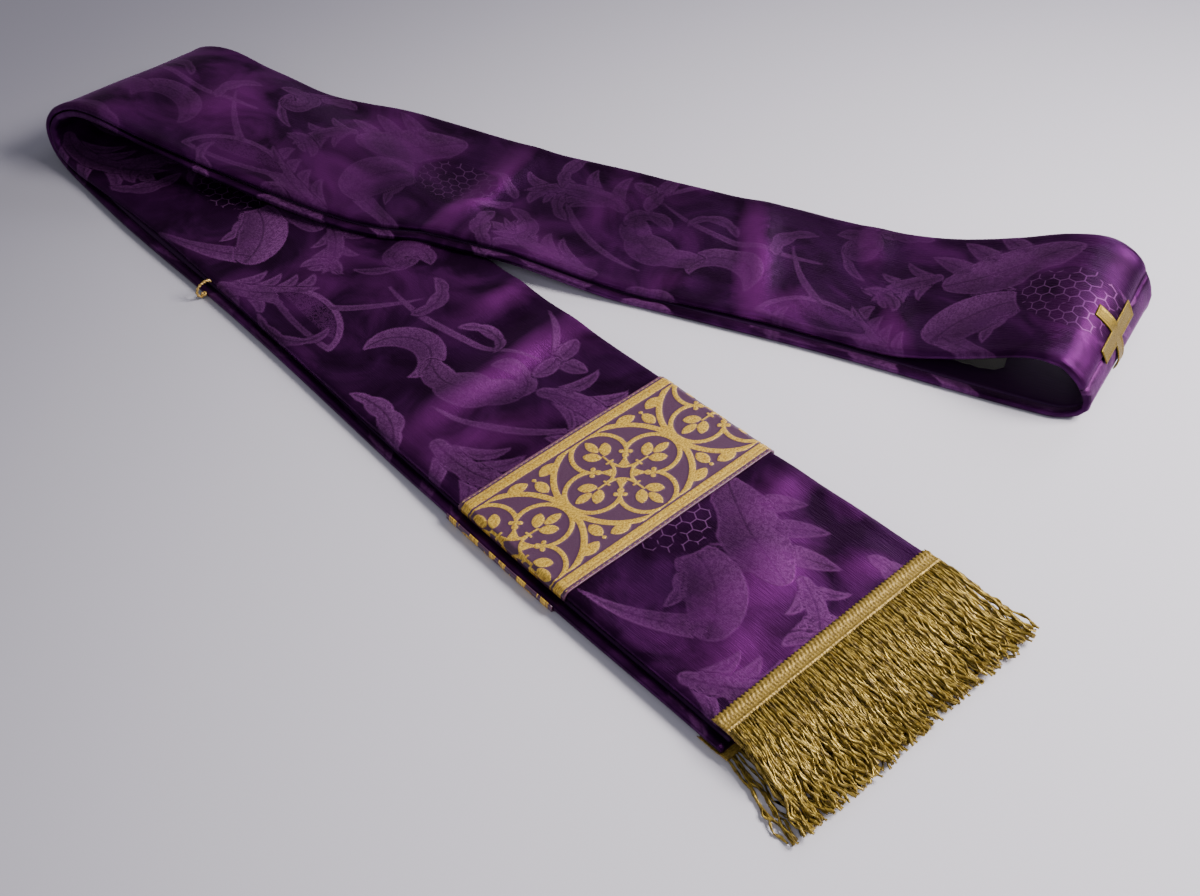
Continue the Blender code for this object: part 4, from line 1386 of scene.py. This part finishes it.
@dataclass(frozen=True)
class NeckCross:
    """The small braid cross over the neck seam, wrapped round the fold."""

    arm: float = 8.0
    half_length: float = 14.5
    centre_side: float = -5.0
    reach: tuple[float, float] = (19.0, 22.0)
    wall: float = 0.8
    step: float = 0.5
    rim: float = 0.35

    def build(self, finish: Material) -> Object:
        """Return the cross as a closed wall with a raised piped edge."""
        form = FORM
        step = self.step
        paths = np.arange(-self.half_length, self.half_length + step / 2, step)
        sides = np.arange(-self.reach[0], self.reach[1] + step / 2, step)
        path, side = (grid.ravel() for grid in np.meshgrid(paths, sides, indexing="ij"))
        half_arm = self.arm / 2
        outside_long = np.maximum(np.abs(side) - half_arm, np.abs(path) - self.half_length)
        beyond = np.maximum(-self.reach[0] - side, side - self.reach[1])
        outside_cross = np.maximum(np.abs(path) - half_arm, beyond)
        away = np.minimum(outside_long, outside_cross)
        rim = self.rim * np.exp(-((away + 0.7) / 0.55) ** 2)
        woven = 0.08 * np.sin(path * TURN / 1.1) * np.sin(side * TURN / 1.1)
        bed = form.face + form.seam_gap + 0.35
        top = form.neck_wall(form.seam_path + path, self.centre_side + side,
                             bed + self.wall - 0.3 + rim + woven)
        low = form.neck_wall(form.seam_path + path, self.centre_side + side, bed + 0.0 * path)
        quads = grid_faces(len(paths), len(sides))
        kept = quads[away[quads].max(axis=1) < step * 0.26]
        count = len(path)
        edges = np.concatenate([kept[:, [0, 1]], kept[:, [1, 2]], kept[:, [2, 3]], kept[:, [3, 0]]])
        once = {tuple(edge) for edge in edges}
        rims = [(b, a, a + count, b + count) for a, b in once if (b, a) not in once]
        faces = [*kept, *(kept[:, ::-1] + count), *rims]
        used, numbers = np.unique(np.concatenate([np.ravel(face) for face in faces]),
                                  return_inverse=True)
        points = np.concatenate([top, low])[used]
        flat = np.column_stack([path, side, np.zeros(count)])
        fields = {"cloth_mm": np.concatenate([flat, flat])[used] * 1.3}
        return make_piece("neck_cross_braid", points, numbers.reshape(-1, 4), finish, fields)


@dataclass(frozen=True)
class LabelTab:
    """The blank woven tab that hangs from the lining inside the neck fold."""

    rows: tuple = ((92.0, 4.5), (100.0, 8.5), (108.0, 12.0), (116.0, 14.0), (121.0, 12.0))
    wall: float = 0.8
    lean: float = 2.5
    hang: float = 0.75         # how much of its reach shows below the fold
    inset: float = 6.0

    def build(self, finish: Material) -> Object:
        """Return the tab as a thin closed wall."""
        form = FORM
        paths = spread(self.rows[0][0], self.rows[-1][0], 1.0)
        shares = np.linspace(0.0, 1.0, 14)
        path, share = (grid.ravel() for grid in np.meshgrid(paths, shares, indexing="ij"))
        side = np.full_like(path, -form.neck_width / 2 + self.inset)
        top = form.neck_wall(path, side, form.halves_gap - 2 * form.seam_gap)
        drop = self.hang * table_value(self.rows, path) * share
        wave = 0.25 * np.sin(path / 3.0) * share
        face = top + np.column_stack([0 * path, wave - self.lean * share ** 2, -drop])
        across = np.array([0.0, self.wall / 2 - 0.1, 0.0])
        flat = np.column_stack([path, drop, np.zeros(len(path))])
        return wall_piece("lining_label_tape", face + across, face - across, len(paths), len(shares),
                          finish, {"cloth_mm": flat})


@dataclass(frozen=True)
class KeeperLoop:
    """The twisted gold cord that bridges the halves' near edges, with a knot at its lower end."""

    run: float = 645.0
    radius: float = 0.85
    pitch: float = 2.6
    route: tuple = ((4.2, 8.6), (2.6, 9.9), (-0.4, 9.9), (-3.2, 8.6), (-4.9, 6.2), (-4.8, 3.7),
                    (-3.2, 1.9), (-1.6, 1.5))
    knot: float = 1.0

    def cord(self, line: Array) -> tuple[Array, Array]:
        """Return the points and faces of a two-ply cord along a line."""
        steps = np.linalg.norm(np.diff(line, axis=0), axis=1)
        at = np.concatenate([[0.0], np.cumsum(steps)])
        way = np.gradient(line, axis=0)
        way /= np.linalg.norm(way, axis=1)[:, None]
        side = np.cross(way, (0.3, 0.9, 0.2))
        side /= np.linalg.norm(side, axis=1)[:, None]
        other = np.cross(way, side)
        around = np.arange(12) * TURN / 12
        lobes = self.radius * (0.78 + 0.22 * np.cos(2 * (around[None, :] - at[:, None] * math.pi
                                                        / self.pitch)))
        points = (line[:, None, :] + side[:, None, :] * (lobes * np.cos(around))[:, :, None]
                  + other[:, None, :] * (lobes * np.sin(around))[:, :, None])
        return points.reshape(-1, 3), grid_faces(len(line), 12, closed=True)

    def build(self, finish: Material) -> Object:
        """Return the cord and its knot as one mesh of closed tubes."""
        form = FORM
        edge = -float(form.width(self.run)) / 2
        off, height = np.array(self.route).T
        place = form.cloth(Half.OUTER, self.run, edge + off, 0.0)
        nodes = np.column_stack([place[:, :2], height])
        fine = np.linspace(0.0, len(nodes) - 1.0, 90)
        k = np.clip(fine.astype(int), 0, len(nodes) - 2)
        u = (fine - k)[:, None]
        slope = np.gradient(nodes, axis=0)
        line = (nodes[k] * (2 * u**3 - 3 * u**2 + 1) + slope[k] * (u**3 - 2 * u**2 + u)
                + nodes[k + 1] * (3 * u**2 - 2 * u**3) + slope[k + 1] * (u**3 - u**2))
        turn = np.linspace(0.0, 2.4 * TURN, 110)
        centre = nodes[-1] + np.array([0.2, 0.4, 0.9])
        knot = centre + np.column_stack([self.knot * np.cos(turn) * 0.8, self.knot * np.sin(turn),
                                         0.45 * np.sin(turn * 0.5 + 0.6)])
        points, faces, count = [], [], 0
        for path in (line, knot):
            made, quads = self.cord(path)
            ends = [np.arange(12)[::-1] + count, np.arange(12) + count + len(made) - 12]
            faces.extend([*(quads + count), *ends])
            points.append(made)
            count += len(made)
        every = np.concatenate(points)
        every[:, 2] = np.maximum(every[:, 2], 0.1)
        return make_piece("keeper_loop_cord", every, faces, finish, {"cloth_mm": every})


@dataclass(frozen=True)
class StitchRows:
    """Small hand stitches along guide lines, made by geometry nodes."""

    name: str
    pitch: float
    length: float
    thickness: float = 0.4

    def tree(self, finish: Material) -> Tree:
        """Return the geometry tree that sets a stitch at every pitch of the guides."""
        tree, given, result = geometry_tree("stitch_rows", Pitch="Float", Length="Float",
                                            Thickness="Float")
        curve = put(tree, "GeometryNodeMeshToCurve", {0: given["Geometry"]})
        spaced = put(tree, "GeometryNodeResampleCurve", {"Curve": curve, "Length": given["Pitch"]},
                     mode="LENGTH")
        facing = put(tree, "FunctionNodeAlignRotationToVector",
                     {"Vector": put(tree, "GeometryNodeInputTangent")}, axis="Z")
        ball = put(tree, "GeometryNodeMeshUVSphere", {"Segments": 6, "Rings": 5, "Radius": 0.5})
        size = joined(tree, given["Thickness"], given["Thickness"], given["Length"])
        sewn = put(tree, "GeometryNodeInstanceOnPoints",
                   {"Points": spaced, "Instance": ball, "Rotation": facing, "Scale": size})
        real = put(tree, "GeometryNodeRealizeInstances", {0: sewn})
        dressed = put(tree, "GeometryNodeSetMaterial", {"Geometry": real, "Material": finish})
        tree.links.new(dressed, result.inputs[0])
        return tree

    def build(self, guides: list[Array], finish: Material) -> Object:
        """Return the stitches along guides given in the layout's millimetres."""
        points = np.concatenate(guides)
        edges, start = [], 0
        for guide in guides:
            edges.extend((start + k, start + k + 1) for k in range(len(guide) - 1))
            start += len(guide)
        mesh = bpy.data.meshes.new("guide")
        mesh.from_pydata(points * MM + LAYOUT_ZERO, edges, [])
        guide = place_object("guide", mesh)
        sizes = {"Pitch": self.pitch * MM, "Length": self.length * MM, "Thickness": self.thickness * MM}
        piece = keep_realized(guide, self.tree(finish), sizes, self.name)
        shade_smooth(piece.data)
        return piece


# ---------------------------------------------------------------------------------------------------
# Studio
# ---------------------------------------------------------------------------------------------------

@dataclass(frozen=True)
class Studio:
    """A pale floor with a painted pool of light, soft light from the far right, and the camera."""

    camera_at: tuple[float, float, float] = (0.0, -0.657, 0.5217)    # from the layout's zero
    azimuth: float = 22.5
    elevation: float = 44.5
    lens: float = 45.0
    film: float = 36.0
    floor_size: float = 30.0
    painted_pool_at: tuple[float, float, float] = (0.36, -0.05, 0.0)    # middle of the pool of light painted on the floor
    # the painted pool's inner and outer reach, and the floor's colour in the pool and far from it
    painted_pool_reach: tuple[float, float] = (0.12, 0.95)
    painted_pool_colours: tuple[str, str] = ("#dad7e4", "#878593")
    lamps: tuple = (
        # name   place               aim                 size  power  tint
        ("key",  (0.98, 0.38, 0.86), (0.25, -0.05, 0.0), 0.55, 33.0, "#fffaf4"),
        ("back", (0.5, 1.5, 0.8),    (0.1, 0.0, 0.0),    0.7,   9.0, "#fbf8ff"),
        ("fill", (0.3, -1.5, 1.5),   (0.1, -0.3, 0.0),   1.6,   9.0, "#f4f6ff"),
    )
    world_colour: str = "#e9e9ee"
    world_strength: float = 0.24

    def floor(self) -> None:
        """Add the floor, a sheet of pale paper with a soft pool of light painted on it, darker further away.
        """
        half = self.floor_size / 2
        corners = [(-half, -half, 0.0), (half, -half, 0.0), (half, half, 0.0), (-half, half, 0.0)]
        mesh = bpy.data.meshes.new("floor")
        mesh.from_pydata([(x, y, -0.0002) for x, y, _ in corners], [], [(0, 1, 2, 3)])
        material, tree = start_material("paper_with_painted_light_pool", Roughness=0.85,
                                        Specular_IOR_Level=0.2)
        place = add_node(tree, "ShaderNodeTexCoord").outputs["Object"]
        off = add_node(tree, "ShaderNodeVectorMath", {0: place, 1: self.painted_pool_at},
                       operation="DISTANCE").outputs[1]
        start, end = self.painted_pool_reach
        # painted light: the floor darkens with distance from the pool
        far = put(tree, "ShaderNodeMapRange", {0: off, 1: start, 2: end},
                  interpolation_type="SMOOTHERSTEP")
        feed(tree, Base_Color=blend_of(tree, far, *self.painted_pool_colours))
        mesh.materials.append(material)
        floor = place_object("floor", mesh)

    def lamp(self, name: str, at: tuple, aim: tuple, size: float, power: float, tint: str) -> None:
        """Add one soft rectangular light.

        Args:
            name: The light's name.
            at: Its place, in metres.
            aim: The point that it faces.
            size: The length of its sides.
            power: Its power in watts.
            tint: Its colour.
        """
        light = bpy.data.lights.new(name, "AREA")
        light.size, light.energy, light.color = size, power, linear(tint)[:3]
        lamp = place_object(name, light)
        way = np.array(aim) - np.array(at)
        flat = math.hypot(way[0], way[1])
        lamp.rotation_euler = (math.atan2(flat, -way[2]), 0.0, math.atan2(-way[0], way[1]))
        lamp.location = at

    def build(self) -> None:
        """Add the floor, the lights, the world and the camera."""
        self.floor()
        for lamp in self.lamps:
            self.lamp(*lamp)
        world = bpy.data.worlds.new("studio")
        world.use_nodes = True
        background = world.node_tree.nodes["Background"].inputs
        background["Color"].default_value = linear(self.world_colour)
        background["Strength"].default_value = self.world_strength
        bpy.context.scene.world = world
        camera = bpy.data.cameras.new("camera")
        camera.lens, camera.sensor_width = self.lens, self.film
        camera.clip_start = 0.01
        seen = place_object("camera", camera)
        seen.location = LAYOUT_ZERO + np.array(self.camera_at)
        seen.rotation_euler = (math.radians(90.0 - self.elevation), 0.0, math.radians(self.azimuth))
        bpy.context.scene.camera = seen


# ---------------------------------------------------------------------------------------------------
# The stole
# ---------------------------------------------------------------------------------------------------

class Stole:
    """The whole stole: it builds each piece, dresses it and hides the imported parts that it stands for."""

    def __init__(self) -> None:
        """Make the finishes."""
        self.damask = DamaskSatin().material()
        self.lining = LiningSatin().material()
        self.galloon = MetalThread("woven_gold_galloon", "#f6ce58", "#a07424", 0.40, 0.42).material(
            ground="#3d1f3a")
        self.fringe = MetalThread("antique_gold_fringe", "#b4983f", "#4e3b10", 0.33, 0.5, 0.5,
                                  0.08).material()
        self.heading = MetalThread("antique_gold_heading", "#ac8e3e", "#665018", 0.44, 0.4, 0.9,
                                   0.3).material()
        self.braid = MetalThread("gold_braid", "#8f7522", "#4e3f0a", 0.38, 0.7, 1.4).material()
        self.tape = WovenTape().material()
        self.cord = MetalThread("twisted_gold_cord", "#d2b064", "#86652a", 0.4, 0.5, 1.2).material()
        self.gold_thread = SewingThread("gold_sewing_thread", "#a98b4a").material()
        self.drawing = DamaskDrawing()

    def settle(self, piece: Object, slot: str, *nodes: str) -> Object:
        """Ride a piece on the stole's one body and hide the imported nodes that it stands for."""
        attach(piece, "root")
        if nodes:
            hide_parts(*nodes)
        LOG.info("%s: %d faces", piece.name, len(piece.data.polygons))
        return piece

    def build_half(self, half: Half) -> Object:
        """Build one half with its trimmings."""
        name = half.value
        damask = self.settle(DamaskPanel(half).build(self.damask, self.drawing), "damask",
                             f"damask_{name}")
        lining = self.settle(LiningPanel(half).build(self.lining), "lining", f"lining_{name}")
        band = GalloonBand(half)
        galloon = self.settle(band.build(self.galloon), "galloon", f"galloon_{name}")
        header = self.settle(FringeHeader(half).build(self.heading), "fringe", f"fringe_header_{name}")
        skirt_form = (FringeSkirt(half, strands=330, seed=5, levels=(11.3, 4.2)) if half is Half.INNER
                      else FringeSkirt(half, strands=150, seed=8, levels=(1.6, 1.3), thickness=1.35,
                                       start_below_hem=2.0, length=45.5))
        skirt = self.settle(skirt_form.build(self.fringe), "fringe", f"fringe_skirt_{name}")
        stitches = self.settle(self.band_stitches(half, band), "galloon")
        return damask

    def band_stitches(self, half: Half, band: GalloonBand) -> Object:
        """Return the stitches that hold a galloon down along both of its edges."""
        form = FORM
        guides = []
        for above in band.above_hem:
            inwards = 1.1 if above == band.above_hem[0] else -1.1
            run = form.hem[half] - above + inwards
            side = spread(-form.width(run) / 2 + 1.5, form.width(run) / 2 - 1.5, 3.0)
            depth = form.face + form.seam_gap + band.wall - 0.3 + relief(half, run + 0 * side, side)
            guides.append(form.cloth(half, run, side, depth))
        rows = StitchRows(f"galloon_{half.value}_stitches", pitch=3.2, length=1.9)
        return rows.build(guides, self.gold_thread)

    def build(self) -> None:
        """Build every piece of the stole."""
        for half in Half:
            self.build_half(half)
        self.settle(NeckCross().build(self.braid), "cross_braid", "neck_cross")
        self.settle(LabelTab().build(self.tape), "label", "lining_label")
        self.settle(KeeperLoop().build(self.cord), "cord", "keeper_loop")


def main() -> None:
    """Build the stole and the studio."""
    logging.basicConfig(level=logging.INFO, format="%(name)s: %(message)s")
    Stole().build()
    Studio().build()


if __name__ == "__main__":
    main()
